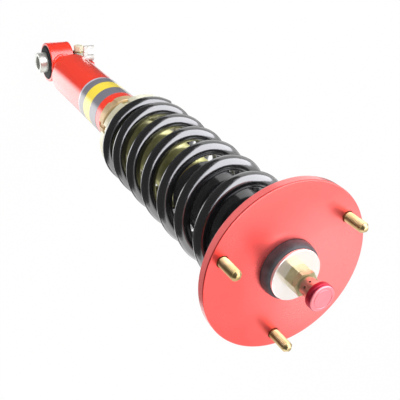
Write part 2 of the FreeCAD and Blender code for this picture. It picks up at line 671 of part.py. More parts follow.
def build_spring():
    """Open coil spring of round wire, wound in quarter turns, its closed ends ground flat."""
    wire, ground = size("wire_radius"), size("spring_ground")
    low, high = size(PERCH_SEAT), size(SEAT_UNDER)
    bottom, top = low + wire - ground, high - wire + ground
    free, closed, lead = size("spring_free_turns"), size("spring_closed_turns"), size("spring_lead_turns")
    turns_in_all = free + 2 * closed
    pitch = (top - bottom) / (free - lead)
    steps = 4 * math.ceil(turns_in_all)
    nudge = 1e-4
    points, ways = [], []
    for step in range(steps + 1):
        turns = turns_in_all * step / steps - closed
        before = spring_middle(bottom, pitch, turns - nudge)
        after = spring_middle(bottom, pitch, turns + nudge)
        points.append(spring_middle(bottom, pitch, turns))
        ways.append((after - before).normalize())
    edges = []
    for index in range(steps):
        edges += arcs_between(points[index], ways[index], points[index + 1], ways[index + 1])
    path = Part.Wire(edges)
    section = wire_section(points[0], ways[0], wire)
    tube = path.makePipeShell([section], True, False)
    between_seats = Part.makeCylinder(size(SEAT) + wire, high - low, Vector(0, 0, low))
    spring = doc.addObject("Part::Feature", "coil_spring")
    spring.Label = "coil_spring"
    spring.Shape = tube.common(between_seats).Solids[0]
    spring.Placement = Placement()
    swept = Part.Face(section).Area * path.Length
    print(f"spring: pitch {pitch:.2f} mm, tube volume {tube.Volume:.0f} of {swept:.0f} mm3")
    per_turn = 250
    samples = [
        spring_middle(bottom, pitch, n / per_turn - closed) for n in range(int(turns_in_all * per_turn) + 1)
    ]
    width = 2 * max((vertex.Point - points[0]).Length for vertex in section.Vertexes)
    gap = least_gap(samples, apart=per_turn * 3 // 5, width=width)
    print(f"spring: least gap to itself {gap:.2f} mm")


def build_perch():
    """Threaded lower perch: flange with spanner notches, centring ring and hub."""
    hub, flange = "perch_hub_height", "(perch_hub_height + perch_thickness)"
    top = f"({flange} + perch_pilot_height)"
    body = turned("spring_perch", [
        (ON_BODY, "0"),
        (f"{ON_BODY} + perch_hub_wall", "0"),
        (f"{ON_BODY} + perch_hub_wall", hub),
        (f"{PERCH} - perch_bevel", hub),
        (PERCH, f"{hub} + perch_bevel"),
        (PERCH, f"{flange} - perch_bevel"),
        (f"{PERCH} - perch_bevel", flange),
        (PILOT, flange),
        (PILOT, f"{top} - perch_bevel"),
        (f"{PILOT} - perch_bevel", top),
        (ON_BODY, top),
    ], PERCH_UNDER)
    sketch = new_sketch(body, "notch", "XY_Plane", turn="perch_notch_turn")
    draw_box(sketch, f"{PERCH} - perch_notch_depth", f"{PERCH} + perch_notch_depth",
             "-perch_notch_width / 2", "perch_notch_width / 2")
    notch = cut_from(body, sketch, flange)
    repeat_round(body, notch, "perch_notch_count")


def build_lock_rings():
    """Lock ring under the perch and lock ring on top of the lower tube."""
    places = (
        ("perch_lock_ring", f"{PERCH_UNDER} - lock_ring_height"),
        ("bracket_lock_ring", "tube_top_height"),
    )
    for label, height in places:
        body = turned(label, [
            (ON_BODY, "0"),
            (f"{LOCK_RING} - lock_ring_bevel", "0"),
            (LOCK_RING, "lock_ring_bevel"),
            (LOCK_RING, "lock_ring_height - lock_ring_bevel"),
            (f"{LOCK_RING} - lock_ring_bevel", "lock_ring_height"),
            (ON_BODY, "lock_ring_height"),
        ], height)
        sketch = new_sketch(body, "notch", "XY_Plane")
        draw_box(sketch, f"{LOCK_RING} - lock_notch_depth", f"{LOCK_RING} + lock_notch_depth",
                 "-lock_notch_width / 2", "lock_notch_width / 2")
        notch = cut_from(body, sketch, "lock_ring_height")
        repeat_round(body, notch, "lock_notch_count")


# Damper tube and what closes it


def build_damper():
    """Threaded tube, base plug, floating piston, rod guide, rod seal and gland nut."""
    turned("damper_tube", [
        (BODY_BORE, "0"),
        ("body_radius", "0"),
        ("body_radius", "body_length - plug_flange"),
        (BODY_BORE, "body_length - plug_flange"),
    ], "body_foot_height + plug_flange")
    turned("base_plug", [
        ("0", "0"),
        ("body_radius", "0"),
        ("body_radius", "plug_flange"),
        (BODY_PLUG, "plug_flange"),
        (BODY_PLUG, "plug_flange + plug_depth"),
        (f"{BODY_PLUG} - body_wall", "plug_flange + plug_depth"),
        (f"{BODY_PLUG} - body_wall", "plug_wall"),
        ("0", "plug_wall"),
    ], "body_foot_height")
    turned("floating_piston", [
        ("0", "gas_piston_height - gas_piston_floor"),
        (f"{SLIDER} - gas_piston_wall", "gas_piston_height - gas_piston_floor"),
        (f"{SLIDER} - gas_piston_wall", "0"),
        (SLIDER, "0"),
        (SLIDER, "gas_piston_height"),
        ("0", "gas_piston_height"),
    ], f"{PLUG_TOP} + gas_space")
    for label, height, length in (
        ("rod_guide", GUIDE_UNDER, "guide_height"),
        ("rod_seal", GUIDE_TOP, "seal_height"),
    ):
        turned(label, [(ON_ROD, "0"), (BODY_PLUG, "0"), (BODY_PLUG, length), (ON_ROD, length)], height)
    top = "(gland_plug_height + gland_cap_height)"
    gland = turned("gland_nut", [
        (ON_ROD, "0"),
        (BODY_PLUG, "0"),
        (BODY_PLUG, "gland_plug_height"),
        ("body_radius", "gland_plug_height"),
        ("body_radius", f"{top} - gland_bevel"),
        ("body_radius - gland_bevel", top),
        (ON_ROD, top),
    ], SEAL_TOP, turn="gland_hole_turn")
    sketch = new_sketch(gland, "hole", "XY_Plane", lift=f"{top} - gland_hole_depth")
    draw_circle(sketch, "(rod_radius + body_radius) / 2", "0", "gland_hole_radius")
    hole = cut_from(gland, sketch, "gland_hole_depth")
    repeat_round(gland, hole, "gland_hole_count")


# Lower tube, eye and hose bracket


def build_lower_tube():
    """Lower tube that the damper screws into, closed at its foot."""
    foot = "tube_foot_height"
    turned("lower_tube", [
        ("0", foot),
        (f"{TUBE} - tube_bevel", foot),
        (TUBE, f"{foot} + tube_bevel"),
        (TUBE, "tube_top_height - tube_rim_bevel"),
        (f"{TUBE} - tube_rim_bevel", "tube_top_height"),
        (ON_BODY, "tube_top_height"),
        (ON_BODY, f"{foot} + tube_floor"),
        ("0", f"{foot} + tube_floor"),
    ])


def build_eye_neck():
    """Solid neck welded between the tube's foot and the eye ring, coped over the ring."""
    body = turned("eye_neck", [
        ("0", "0"),
        ("eye_neck_radius", "0"),
        ("eye_neck_radius", "tube_foot_height - eye_neck_flare"),
        ("eye_neck_radius + eye_neck_flare", "tube_foot_height"),
        ("0", "tube_foot_height"),
    ])
    cope = new_sketch(body, "cope", "YZ_Plane")
    draw_circle(cope, "0", "0", EYE_RING)
    cut_from(body, cope, "eye_ring_width", both_ways=True)


def build_eye_ring():
    """Ring welded under the neck, bored for the rubber bush."""
    half, ring_bevel = "(eye_ring_width / 2)", "eye_ring_bevel"
    turned("eye_ring", [
        (f"-{half}", EYE_RING_BORE),
        (half, EYE_RING_BORE),
        (half, f"{EYE_RING} - {ring_bevel}"),
        (f"{half} - {ring_bevel}", EYE_RING),
        (f"-{half} + {ring_bevel}", EYE_RING),
        (f"-{half}", f"{EYE_RING} - {ring_bevel}"),
    ], axis="H_Axis")


def build_hose_lug():
    """Lug welded under the tube's foot, drilled for the hose bracket's bolt."""
    body = new_body("hose_lug", turn="hose_turn")
    plate = new_sketch(body, "plate", "XY_Plane", lift="hose_foot_height")
    draw_box(plate, HOSE_INNER, f"{HOSE_OUTER} - lug_margin",
             "hose_side - lug_thickness", "hose_side")
    raise_from(body, plate, "(tube_foot_height - hose_foot_height)")
    hole = new_sketch(body, "hole", "XZ_Plane")
    draw_circle(hole, BOLT_OUT, BOLT_UP, "bracket_bolt_radius + bore_clearance")
    cut_from(body, hole, "3 * hose_side", both_ways=True)


def build_eye_bush():
    """Rubber bush with a lip on each face of the ring, and the steel sleeve inside it."""
    face, lip = "(eye_ring_width / 2)", "bush_lip_reach / 2"
    inner, outer = f"{EYE_SLEEVE} + bush_clearance", f"{EYE_RING_BORE} - bush_clearance"
    tip = f"{EYE_RING_BORE} + bush_lip_reach"
    turned("eye_bush", [
        (f"-{face} - bush_lip_width", inner),
        (f"{face} + bush_lip_width", inner),
        (f"{face} + bush_lip_width", f"{tip} - {lip}"),
        (f"{face} + bush_clearance", tip),
        (f"{face} + bush_clearance", outer),
        (f"-{face} - bush_clearance", outer),
        (f"-{face} - bush_clearance", tip),
        (f"-{face} - bush_lip_width", f"{tip} - {lip}"),
    ], axis="H_Axis")
    end = "(eye_sleeve_length / 2)"
    turned("eye_sleeve", [
        (f"-{end}", "eye_bore_radius"),
        (end, "eye_bore_radius"),
        (end, f"{EYE_SLEEVE} - eye_sleeve_bevel"),
        (f"{end} - eye_sleeve_bevel", EYE_SLEEVE),
        (f"-{end} + eye_sleeve_bevel", EYE_SLEEVE),
        (f"-{end}", f"{EYE_SLEEVE} - eye_sleeve_bevel"),
    ], axis="H_Axis")


def build_hose_bracket():
    """Bent steel bracket bolted to the lug: a leaf along the tube, turned out at its upper end
    into a forked leaf that holds the hose."""
    body = new_body("hose_bracket", turn="hose_turn")
    top, thick = "(hose_foot_height + hose_length)", "hose_thickness"
    back, front, tip = "hose_side", f"(hose_side + {thick})", "(hose_side + hose_leaf)"
    bend = new_sketch(body, "bend", "YZ_Plane", lift=HOSE_INNER)
    draw_outline(bend, [
        (back, "hose_foot_height"),
        (front, "hose_foot_height"),
        (front, f"{top} - {thick} - hose_bend"),
        (f"{front} + hose_bend", f"{top} - {thick}", "hose_bend", "in"),
        (tip, f"{top} - {thick}"),
        (tip, top),
        (f"{front} + hose_bend", top),
        (back, f"{top} - {thick} - hose_bend", f"hose_bend + {thick}"),
    ])
    raise_from(body, bend, "hose_width")
    hole = new_sketch(body, "hole", "XZ_Plane")
    draw_circle(hole, BOLT_OUT, BOLT_UP, "bracket_bolt_radius + bore_clearance")
    cut_from(body, hole, "3 * hose_side", both_ways=True)
    slot = new_sketch(body, "slot", "XY_Plane", lift=f"{top} - 2 * {thick}")
    middle, half = f"({front} + hose_bend + {tip}) / 2", "hose_slot_width / 2"
    draw_outline(slot, [
        (f"{HOSE_OUTER} - hose_slot_depth", f"{middle} - {half}"),
        (f"{HOSE_OUTER} + {half}", f"{middle} - {half}"),
        (f"{HOSE_OUTER} + {half}", f"{middle} + {half}"),
        (f"{HOSE_OUTER} - hose_slot_depth", f"{middle} + {half}"),
    ])
    cut_from(body, slot, f"3 * {thick}")


def build_bracket_bolt():
    """Flanged hexagon bolt through the hose bracket and its lug."""
    shank = "-lug_thickness"
    head = "(hose_thickness + bracket_bolt_flange_height)"
    body = turned("bracket_bolt", [
        ("0", shank),
        ("bracket_bolt_radius", shank),
        ("bracket_bolt_radius", "hose_thickness"),
        ("bracket_bolt_flange", "hose_thickness"),
        ("bracket_bolt_flange", head),
        ("0", head),
    ], BOLT_UP, turn="hose_turn", plane="XY_Plane")
    along, across = "cos(hose_turn)", "sin(hose_turn)"
    body.setExpression(".Placement.Base.x", cells(f"{BOLT_OUT} * {along} - hose_side * {across}"))
    body.setExpression(".Placement.Base.y", cells(f"{BOLT_OUT} * {across} + hose_side * {along}"))
    plane = [f for f in body.Origin.OriginFeatures if f.Role == "XZ_Plane"][0]
    prism = hexagon(body, "(2 * bracket_bolt_radius + 2 * bracket_bolt_wall)", "bracket_bolt_head")
    prism.AttachmentSupport = [(plane, "")]
    prism.MapMode = "FlatFace"
    prism.setExpression(".AttachmentOffset.Base.z", cells(f"-{head} - bracket_bolt_head"))


def build_all():
    """Builds every sub-part in order."""
    build_top_plate()
    build_studs()
    build_cushions()
    build_rod_top()
    build_rod()
    build_spring_seat()
    build_dust_sleeve_and_bump_stop()
    build_adjuster()
    build_piston()
    build_spring()
    build_perch()
    build_lock_rings()
    build_damper()
    build_lower_tube()
    build_eye_neck()
    build_eye_ring()
    build_hose_lug()
    build_eye_bush()
    build_hose_bracket()
    build_bracket_bolt()


build_all()
doc.recompute()
for item in doc.Objects:
    if set(item.State) & {"Invalid", "Error"}:
        raise SystemExit(f"{item.Label} is {item.State}")
os.makedirs("parts", exist_ok=True)
for item in doc.Objects:
    if item.isDerivedFrom("PartDesign::Body") or item.TypeId == "Part::Feature":
        if item.Shape.isNull() or not item.Shape.isValid():
            raise SystemExit(f"{item.Label} has no valid shape")
        item.Shape.exportStep(f"parts/{item.Label}.step")
        print(f"{item.Label}: {item.Shape.Volume:.0f} mm3, solids {len(item.Shape.Solids)}")
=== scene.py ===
"""Coilover strut: the looks of every piece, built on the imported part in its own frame.

Lengths are millimetres from the eye's centre, +Z up the damper, until a piece is finished.
"""
import functools
import logging
import math
from dataclasses import dataclass
from enum import Enum
from typing import Any, Callable, ClassVar, Iterable, Mapping, Optional, Sequence

import bmesh
import bpy
from mathutils import Matrix, Vector


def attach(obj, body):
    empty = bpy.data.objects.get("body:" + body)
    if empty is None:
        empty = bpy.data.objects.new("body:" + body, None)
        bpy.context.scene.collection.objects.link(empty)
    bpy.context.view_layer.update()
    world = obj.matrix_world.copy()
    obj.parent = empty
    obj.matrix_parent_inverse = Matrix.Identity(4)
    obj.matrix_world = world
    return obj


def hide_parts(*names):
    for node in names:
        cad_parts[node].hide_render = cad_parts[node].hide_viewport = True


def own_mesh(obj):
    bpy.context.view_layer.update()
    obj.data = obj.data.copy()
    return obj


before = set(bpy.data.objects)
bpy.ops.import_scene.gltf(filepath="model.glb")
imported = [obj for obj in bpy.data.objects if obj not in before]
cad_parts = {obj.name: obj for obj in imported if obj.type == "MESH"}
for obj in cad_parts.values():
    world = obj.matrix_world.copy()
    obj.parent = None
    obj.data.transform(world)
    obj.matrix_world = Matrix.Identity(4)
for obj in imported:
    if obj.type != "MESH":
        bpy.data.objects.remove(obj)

log = logging.getLogger("coilover")

MM = 0.001
FULL_TURN = 2 * math.pi
SEAM = 0.0005  # corners closer than this become one
PAST = 1.0  # how far a cutting tool stands past the piece
CREASE = 38.0  # edges sharper than this many degrees stay sharp
SPIN_STEPS = 48
WHITE = (1, 1, 1, 1)
Colour = tuple[float, float, float]
Place = tuple[float, float, float]
Corner = tuple[float, ...]


class Axis(Enum):
    """The axis that a piece is turned about."""

    DAMPER = "Z"
    EYE = "X"


class Pattern(Enum):
    """Which way the fine lines of a machined metal run."""

    ROUND = "round"
    RADIAL_FACE = "face"
    NONE = "none"


# Shader maths


class Wire:
    """A shader socket that takes part in Python arithmetic."""

    def __init__(self, shader: "Shader", socket: bpy.types.NodeSocket) -> None:
        """Keeps the socket and the shader that it belongs to."""
        self.shader = shader
        self.socket = socket

    def _math(self, operation: str, first: Any, second: Any) -> "Wire":
        """One Math node on two values."""
        return self.shader.node("ShaderNodeMath", {"operation": operation}, {0: first, 1: second})

    def __add__(self, other: Any) -> "Wire":
        """Sum."""
        return self._math("ADD", self, other)

    __radd__ = __add__

    def __sub__(self, other: Any) -> "Wire":
        """Difference."""
        return self._math("SUBTRACT", self, other)

    def __rsub__(self, other: Any) -> "Wire":
        """Difference from a number."""
        return self._math("SUBTRACT", other, self)

    def __mul__(self, other: Any) -> "Wire":
        """Product."""
        return self._math("MULTIPLY", self, other)

    __rmul__ = __mul__

    def __truediv__(self, other: Any) -> "Wire":
        """Quotient."""
        return self._math("DIVIDE", self, other)

    def __pow__(self, other: Any) -> "Wire":
        """Power."""
        return self._math("POWER", self, other)

    def most(self, other: Any) -> "Wire":
        """The larger of two values."""
        return self._math("MAXIMUM", self, other)

    def above(self, edge: float, softness: float) -> "Wire":
        """Goes from 0 to 1 as the value passes an edge.

        Args:
            edge: value where the step is half way.
            softness: width of the step.

        Returns:
            The step as a wire.
        """
        return self.shader.node(
            "ShaderNodeMapRange",
            {"interpolation_type": "SMOOTHSTEP"},
            {0: self, 1: edge - softness / 2, 2: edge + softness / 2, 3: 0.0, 4: 1.0},
        )


class Shader:
    """One node tree, filled through a single method for every kind of node."""

    def __init__(self, tree: bpy.types.NodeTree) -> None:
        """Takes over a node tree and empties it."""
        self.tree = tree
        tree.nodes.clear()

    @classmethod
    def of_new_material(cls, name: str) -> tuple[bpy.types.Material, "Shader"]:
        """Makes a material with no nodes yet.

        Args:
            name: the material's name.

        Returns:
            The material and the shader that fills it.
        """
        made = bpy.data.materials.new(name)
        made.use_nodes = True
        return made, cls(made.node_tree)

    def node(
        self,
        kind: str,
        settings: Optional[Mapping[str, Any]] = None,
        inputs: Optional[Mapping[Any, Any]] = None,
        output: Any = 0,
    ) -> Wire:
        """Adds a node.

        Args:
            kind: the node's type.
            settings: attributes that are set first.
            inputs: a value or a wire for each socket, by name or rank.
            output: the socket to hand back, by name or rank.

        Returns:
            The chosen output, or the first input of a node that has no output.
        """
        made = self.tree.nodes.new(kind)
        for name, value in (settings or {}).items():
            setattr(made, name, value)
        for name, value in (inputs or {}).items():
            if isinstance(value, Wire):
                self.tree.links.new(value.socket, made.inputs[name])
            else:
                made.inputs[name].default_value = value
        return Wire(self, made.outputs[output] if len(made.outputs) else made.inputs[0])

    def other(self, wire: Wire, output: Any) -> Wire:
        """Another output of the node that a wire comes from."""
        return Wire(self, wire.socket.node.outputs[output])

    def place(self, scale: Place = (1.0, 1.0, 1.0)) -> Wire:
        """Object coordinates.

        Args:
            scale: how far they are stretched along each axis.

        Returns:
            The coordinates as a vector.
        """
        spot = self.node("ShaderNodeTexCoord", output="Object")
        if scale == (1.0, 1.0, 1.0):
            return spot
        return self.node("ShaderNodeMapping", {"vector_type": "POINT"}, {"Vector": spot, "Scale": scale})

    def split(self, vector: Wire) -> tuple[Wire, Wire, Wire]:
        """The three parts of a vector."""
        x = self.node("ShaderNodeSeparateXYZ", inputs={0: vector}, output=0)
        return x, self.other(x, 1), self.other(x, 2)

    def noise(self, vector: Wire, scale: float, detail: float = 3.0, roughness: float = 0.55) -> Wire:
        """Fractal noise from 0 to 1."""
        return self.node(
            "ShaderNodeTexNoise",
            inputs={"Vector": vector, "Scale": scale, "Detail": detail, "Roughness": roughness},
        )

    def lines(self, across: Wire, scale: float, roughness: float) -> Wire:
        """Noise that changes with one value only, as the lines of a turning tool do."""
        vector = self.node("ShaderNodeCombineXYZ", inputs={0: across})
        return self.noise(vector, scale, 2.0, roughness)

    def blend(self, share: Any, first: Any, second: Any) -> Wire:
        """Mixes two colours; a plain colour is three numbers."""
        pair = [value if isinstance(value, Wire) else (*value, 1.0) for value in (first, second)]
        return self.node("ShaderNodeMix", {"data_type": "RGBA"}, {0: share, 6: pair[0], 7: pair[1]}, output=2)

    def bump(self, height: Wire, depth: float) -> Wire:
        """A normal from a height; depth is in metres for a height of 1."""
        return self.node("ShaderNodeBump", inputs={"Height": height, "Distance": depth, "Strength": 1.0})

    def glow(self, colour: Any) -> Wire:
        """Plain light of a colour, or of a grey that changes."""
        return self.node("ShaderNodeEmission", inputs={"Color": colour, "Strength": 1.0})

    def finish(self, look: Wire) -> None:
        """Ends a material in a look."""
        self.node("ShaderNodeOutputMaterial", inputs={"Surface": look})

    def surface(self, **sockets: Any) -> None:
        """Ends a material in a Principled surface; underscores in the names are spaces."""
        named = {name.replace("_", " "): value for name, value in sockets.items()}
        self.finish(self.node("ShaderNodeBsdfPrincipled", inputs=named))


def from_axis(x: Wire, y: Wire) -> Wire:
    """Distance from the damper's axis."""
    return (x * x + y * y) ** 0.5


@dataclass(frozen=True)
class Finish:
    """A finish with a name, which each kind of finish draws in its own way."""

    name: str

    def draw(self, shader: Shader) -> None:
        """Fills the material's nodes.

        Args:
            shader: the empty tree that they go in.
        """
        raise NotImplementedError

    @functools.lru_cache(maxsize=None)
    def material(self) -> bpy.types.Material:
        """The finish as a material, made once."""
        made, shader = Shader.of_new_material(self.name)
        self.draw(shader)
        return made


@dataclass(frozen=True)
class PlatedMetal(Finish):
    """Plated or bare metal: soft blotches of two tints, fine tool lines and dull handling marks."""

    bright: Colour
    deep: Colour
    roughness: float
    blotch: float
    lines: Pattern = Pattern.NONE
    metallic: float = 1.0
    line_depth: float = 0.000004
    line_scale: float = 5200.0

    def draw(self, shader: Shader) -> None:
        """Fills the material's nodes.

        Args:
            shader: the empty tree that they go in.
        """
        spot = shader.place()
        patches = shader.noise(spot, self.blotch, 3.0)
        specks = shader.noise(spot, self.blotch * 14, 4.0, 0.6)
        tint = shader.blend(patches.above(0.5, 0.5), self.bright, self.deep)
        worn = specks.above(0.62, 0.12)
        height = specks * 0.3
        if self.lines is not Pattern.NONE:
            x, y, z = shader.split(spot)
            across = from_axis(x, y) if self.lines is Pattern.RADIAL_FACE else z
            height = height + shader.lines(across, self.line_scale, 0.7)
        shader.surface(
            Base_Color=shader.blend(worn * 0.25, tint, self.deep),
            Metallic=self.metallic,
            Roughness=self.roughness + patches * 0.08 + worn * 0.06,
            Normal=shader.bump(height, self.line_depth),
        )


@dataclass(frozen=True)
class PlateAnodisingAndPaintedLight(Finish):
    """Red anodised plate, satin, with painted light that makes it paler to one side, painted shade along its
    top edge and a painted reflection that makes the machined rim paler.
    """

    # painted light: pale is the face's red near the lit spot and deep the red away from it
    deep: Colour = (0.93, 0.112, 0.101)
    pale: Colour = (0.96, 0.245, 0.235)
    # painted reflection: the rim's paler red
    rim: Colour = (0.85, 0.155, 0.15)
    # painted shade: the darker red along the top face's outer edge
    edge: Colour = (0.62, 0.05, 0.045)
    plate_radius: float = 0.066
    rim_top: float = 0.4976
    # centre, reach and fade of the painted light's spot
    painted_light_x: float = -0.038
    painted_light_y: float = 0.015
    painted_light_reach: float = 0.052
    painted_light_fade: float = 0.070

    def draw(self, shader: Shader) -> None:
        """Fills the material's nodes.

        Args:
            shader: the empty tree that they go in.
        """
        spot = shader.place()
        x, y, z = shader.split(spot)
        radius = from_axis(x, y)
        rings = shader.lines(radius, 2600.0, 0.6)
        clouds = shader.noise(spot, 28.0, 2.0)
        grain = shader.noise(spot, 2400.0, 2.0, 0.6)
        # painted light: the face is paler round one spot and deeper red away from it, broken up by random
        # clouds
        away = ((x - self.painted_light_x) ** 2.0 + (y - self.painted_light_y) ** 2.0) ** 0.5
        painted_light_falloff = away.above(self.painted_light_reach, self.painted_light_fade) + (clouds - 0.5) * 0.5
        on_top = z.above(self.rim_top, 0.0004)
        on_rim = radius.above(self.plate_radius - 0.0002, 0.0003) * (1.0 - on_top)
        # painted shade: a darker band on the top face just inside the rim
        on_edge = radius.above(self.plate_radius - 0.0006, 0.0004) * on_top
        face = shader.blend(on_edge * 0.8, shader.blend(painted_light_falloff, self.pale, self.deep), self.edge)
        shader.surface(
            # painted reflection: the rim is paler, less metallic and coated, standing in for the bright floor
            # it mirrors
            Base_Color=shader.blend(on_rim * 0.9, face, self.rim),
            Metallic=0.85 - on_rim * 0.7,
            Coat_Weight=on_rim,
            Coat_Roughness=0.2,
            Roughness=0.22 + clouds * 0.05 + rings * 0.04 + grain * 0.03,
            Normal=shader.bump(rings + grain * 0.5, 0.0000025),
        )


@dataclass(frozen=True)
class KnobDyeAndPaintedLight(Finish):
    """Red anodised knob, with painted shade that makes the side a deep crimson and painted light that makes
    the brushed face paler.
    """

    # painted shade darkens the side colour and painted light brightens the face colour, over the knob's red
    side: Colour = (0.33, 0.012, 0.036)
    face: Colour = (0.75, 0.223, 0.25)
    face_cloud: Colour = (0.70, 0.162, 0.19)
    face_height: float = 0.5383

    def draw(self, shader: Shader) -> None:
        """Fills the material's nodes.

        Args:
            shader: the empty tree that they go in.
        """
        spot = shader.place()
        x, y, z = shader.split(spot)
        rings = shader.lines(from_axis(x, y), 5200.0, 0.7)
        clouds = shader.noise(spot, 160.0, 3.0)
        cloudy = clouds.above(0.5, 0.5)
        side = shader.blend(cloudy, self.side, tuple(part * 0.8 for part in self.side))
        face = shader.blend(cloudy * 0.35, self.face, self.face_cloud)
        shader.surface(
            # painted light and shade: the top face paler, the side darker
            Base_Color=shader.blend(z.above(self.face_height, 0.0004), side, face),
            Metallic=0.7,
            Roughness=0.34 + clouds * 0.08 + rings * 0.05,
            Normal=shader.bump(rings + clouds * 0.3, 0.000004),
        )


@dataclass(frozen=True)
class GlossPaint(Finish):
    """Gloss paint with a faint orange peel, and dust in the lacquer."""

    colour: Colour
    shade: Colour
    peel: float = 0.000016
    coat_roughness: float = 0.16
    roughness: float = 0.2
    index: float = 1.5

    def draw(self, shader: Shader) -> None:
        """Fills the material's nodes.

        Args:
            shader: the empty tree that they go in.
        """
        spot = shader.place()
        clouds = shader.noise(spot, 22.0, 2.0)
        peel = shader.noise(spot, 420.0, 1.5, 0.4)
        dust = shader.noise(spot, 2600.0, 2.0, 0.6).above(0.72, 0.06)
        shader.surface(
            Base_Color=shader.blend(clouds.above(0.5, 0.7), self.colour, self.shade),
            Roughness=self.roughness + clouds * 0.08 + dust * 0.15,
            IOR=self.index,
            Coat_Weight=1.0,
            Coat_Roughness=self.coat_roughness,
            Normal=shader.bump(peel, self.peel),
        )


@dataclass(frozen=True)
class StripedLabel(Finish):
    """Wrap round label in plain bands: a light line, dark grey, yellow and dark grey."""

    light: Colour = (0.52, 0.49, 0.56)
    grey: tuple[Colour, Colour] = ((0.16, 0.16, 0.19), (0.20, 0.19, 0.23))
    gold: tuple[Colour, Colour] = ((0.92, 0.68, 0.03), (0.95, 0.76, 0.06))
    line: float = 0.1485
    dark: float = 0.1605
    yellow: float = 0.1785
    softness: float = 0.00025

    def draw(self, shader: Shader) -> None:
        """Fills the material's nodes.

        Args:
            shader: the empty tree that they go in.
        """
        spot = shader.place()
        _, _, z = shader.split(spot)
        fibre = shader.noise(spot, 1800.0, 2.0, 0.5)
        cloud = shader.noise(spot, 30.0, 2.0)
        grey, gold = (shader.blend(cloud, *pair) for pair in (self.grey, self.gold))
        bands: Any = self.light
        for height, colour in ((self.line, grey), (self.dark, gold), (self.yellow, grey)):
            bands = shader.blend(z.above(height, self.softness), bands, colour)
        shader.surface(
            Base_Color=bands,
            Roughness=0.28 + fibre * 0.12,
            Coat_Weight=1.0,
            Coat_Roughness=0.14,
            Normal=shader.bump(fibre, 0.000006),
        )


@dataclass(frozen=True)
class Rubber(Finish):
    """Moulded rubber: blue grey bloom, fine grain and small pores."""

    colour: Colour = (0.028, 0.030, 0.034)
    bloom: Colour = (0.085, 0.090, 0.100)
    grain: float = 900.0
    roughness: float = 0.5
    specular: float = 0.4

    def draw(self, shader: Shader) -> None:
        """Fills the material's nodes.

        Args:
            shader: the empty tree that they go in.
        """
        spot = shader.place()
        patch = shader.noise(spot, 90.0, 4.0, 0.6)
        fine = shader.noise(spot, self.grain, 4.0, 0.65)
        colour = shader.blend(patch.above(0.52, 0.35) * 0.7, self.colour, self.bloom)
        shader.surface(
            Base_Color=shader.blend(fine.above(0.66, 0.1) * 0.3, colour, self.bloom),
            Roughness=self.roughness + patch * 0.15,
            Specular_IOR_Level=self.specular,
            Normal=shader.bump(fine, 0.00005),
        )


@dataclass(frozen=True)
class MouldedPlastic(Finish):
    """Moulded plastic with a faint grain and flow marks."""

    colour: Colour = (0.012, 0.012, 0.013)
    roughness: float = 0.10

    def draw(self, shader: Shader) -> None:
        """Fills the material's nodes.

        Args:
            shader: the empty tree that they go in.
        """
        flow = shader.noise(shader.place((1.0, 1.0, 0.15)), 60.0, 3.0)
        grain = shader.noise(shader.place(), 1500.0, 2.0)
        pale = tuple(part * 1.8 + 0.004 for part in self.colour)
        shader.surface(
            Base_Color=shader.blend(flow.above(0.55, 0.4) * 0.6, self.colour, pale),
            Roughness=self.roughness + flow * 0.1,
            Specular_IOR_Level=0.9,
            Normal=shader.bump(grain + flow, 0.000008),
        )


GOLD_ZINC = PlatedMetal("gold_zinc", (0.52, 0.41, 0.23), (0.33, 0.24, 0.09), 0.28, 90.0, metallic=0.9)
GOLD_THREAD = PlatedMetal("gold_thread", (0.66, 0.64, 0.34), (0.40, 0.39, 0.15), 0.26, 50.0, metallic=0.85)
# painted reflection: the washer's gold zinc is painted nearly white, for the bright surround its face mirrors
GOLD_WASHER = PlatedMetal(
    "gold_washer", (0.96, 0.91, 0.88), (0.93, 0.86, 0.80), 0.14, 70.0, Pattern.RADIAL_FACE, 0.7, 0.000001
)
# painted reflection: the perch's gold alloy is painted paler and less metallic than the rings' copy, over the
# alloy's pale gold
GOLD_ALLOY = PlatedMetal(
    "gold_alloy", (0.95, 0.96, 0.80), (0.80, 0.73, 0.52), 0.18, 45.0, Pattern.ROUND, 0.4, 0.000001
)
RING_ALLOY = PlatedMetal(
    "ring_alloy", (0.78, 0.57, 0.34), (0.60, 0.42, 0.22), 0.38, 45.0, Pattern.ROUND, 0.5, 0.000001
)
PALE_ZINC = PlatedMetal("pale_zinc", (0.64, 0.67, 0.62), (0.50, 0.50, 0.46), 0.26, 80.0, metallic=0.55)
BRACKET_ZINC = PlatedMetal("bracket_zinc", (0.60, 0.62, 0.58), (0.42, 0.44, 0.40), 0.35, 120.0, metallic=0.35)
BOLT_ZINC = PlatedMetal("bolt_zinc", (0.92, 0.90, 0.72), (0.80, 0.74, 0.52), 0.30, 90.0, metallic=0.25)
NUT_ZINC = PlatedMetal("nut_zinc", (0.46, 0.42, 0.25), (0.30, 0.26, 0.13), 0.30, 110.0, metallic=0.6)
BARE_STEEL = PlatedMetal("bare_steel", (0.62, 0.62, 0.60), (0.46, 0.46, 0.45), 0.28, 60.0, Pattern.ROUND)
BARE_ALLOY = PlatedMetal("bare_alloy", (0.72, 0.72, 0.73), (0.58, 0.58, 0.60), 0.25, 60.0, Pattern.ROUND)
HARD_CHROME = PlatedMetal("hard_chrome", (0.78, 0.78, 0.80), (0.72, 0.72, 0.74), 0.05, 40.0)
COLLAR_BRASS = PlatedMetal(
    "collar_brass", (0.53, 0.44, 0.36), (0.37, 0.28, 0.21), 0.26, 120.0, Pattern.ROUND, 0.85
)
BLACK_ALLOY = PlatedMetal(
    "black_alloy", (0.035, 0.035, 0.038), (0.020, 0.020, 0.022), 0.3, 60.0, Pattern.ROUND
)
PLATE_RED = PlateAnodisingAndPaintedLight("plate_red")
KNOB_RED = KnobDyeAndPaintedLight("knob_red")
TUBE_RED = GlossPaint("tube_red", (0.92, 0.042, 0.012), (0.88, 0.032, 0.012))
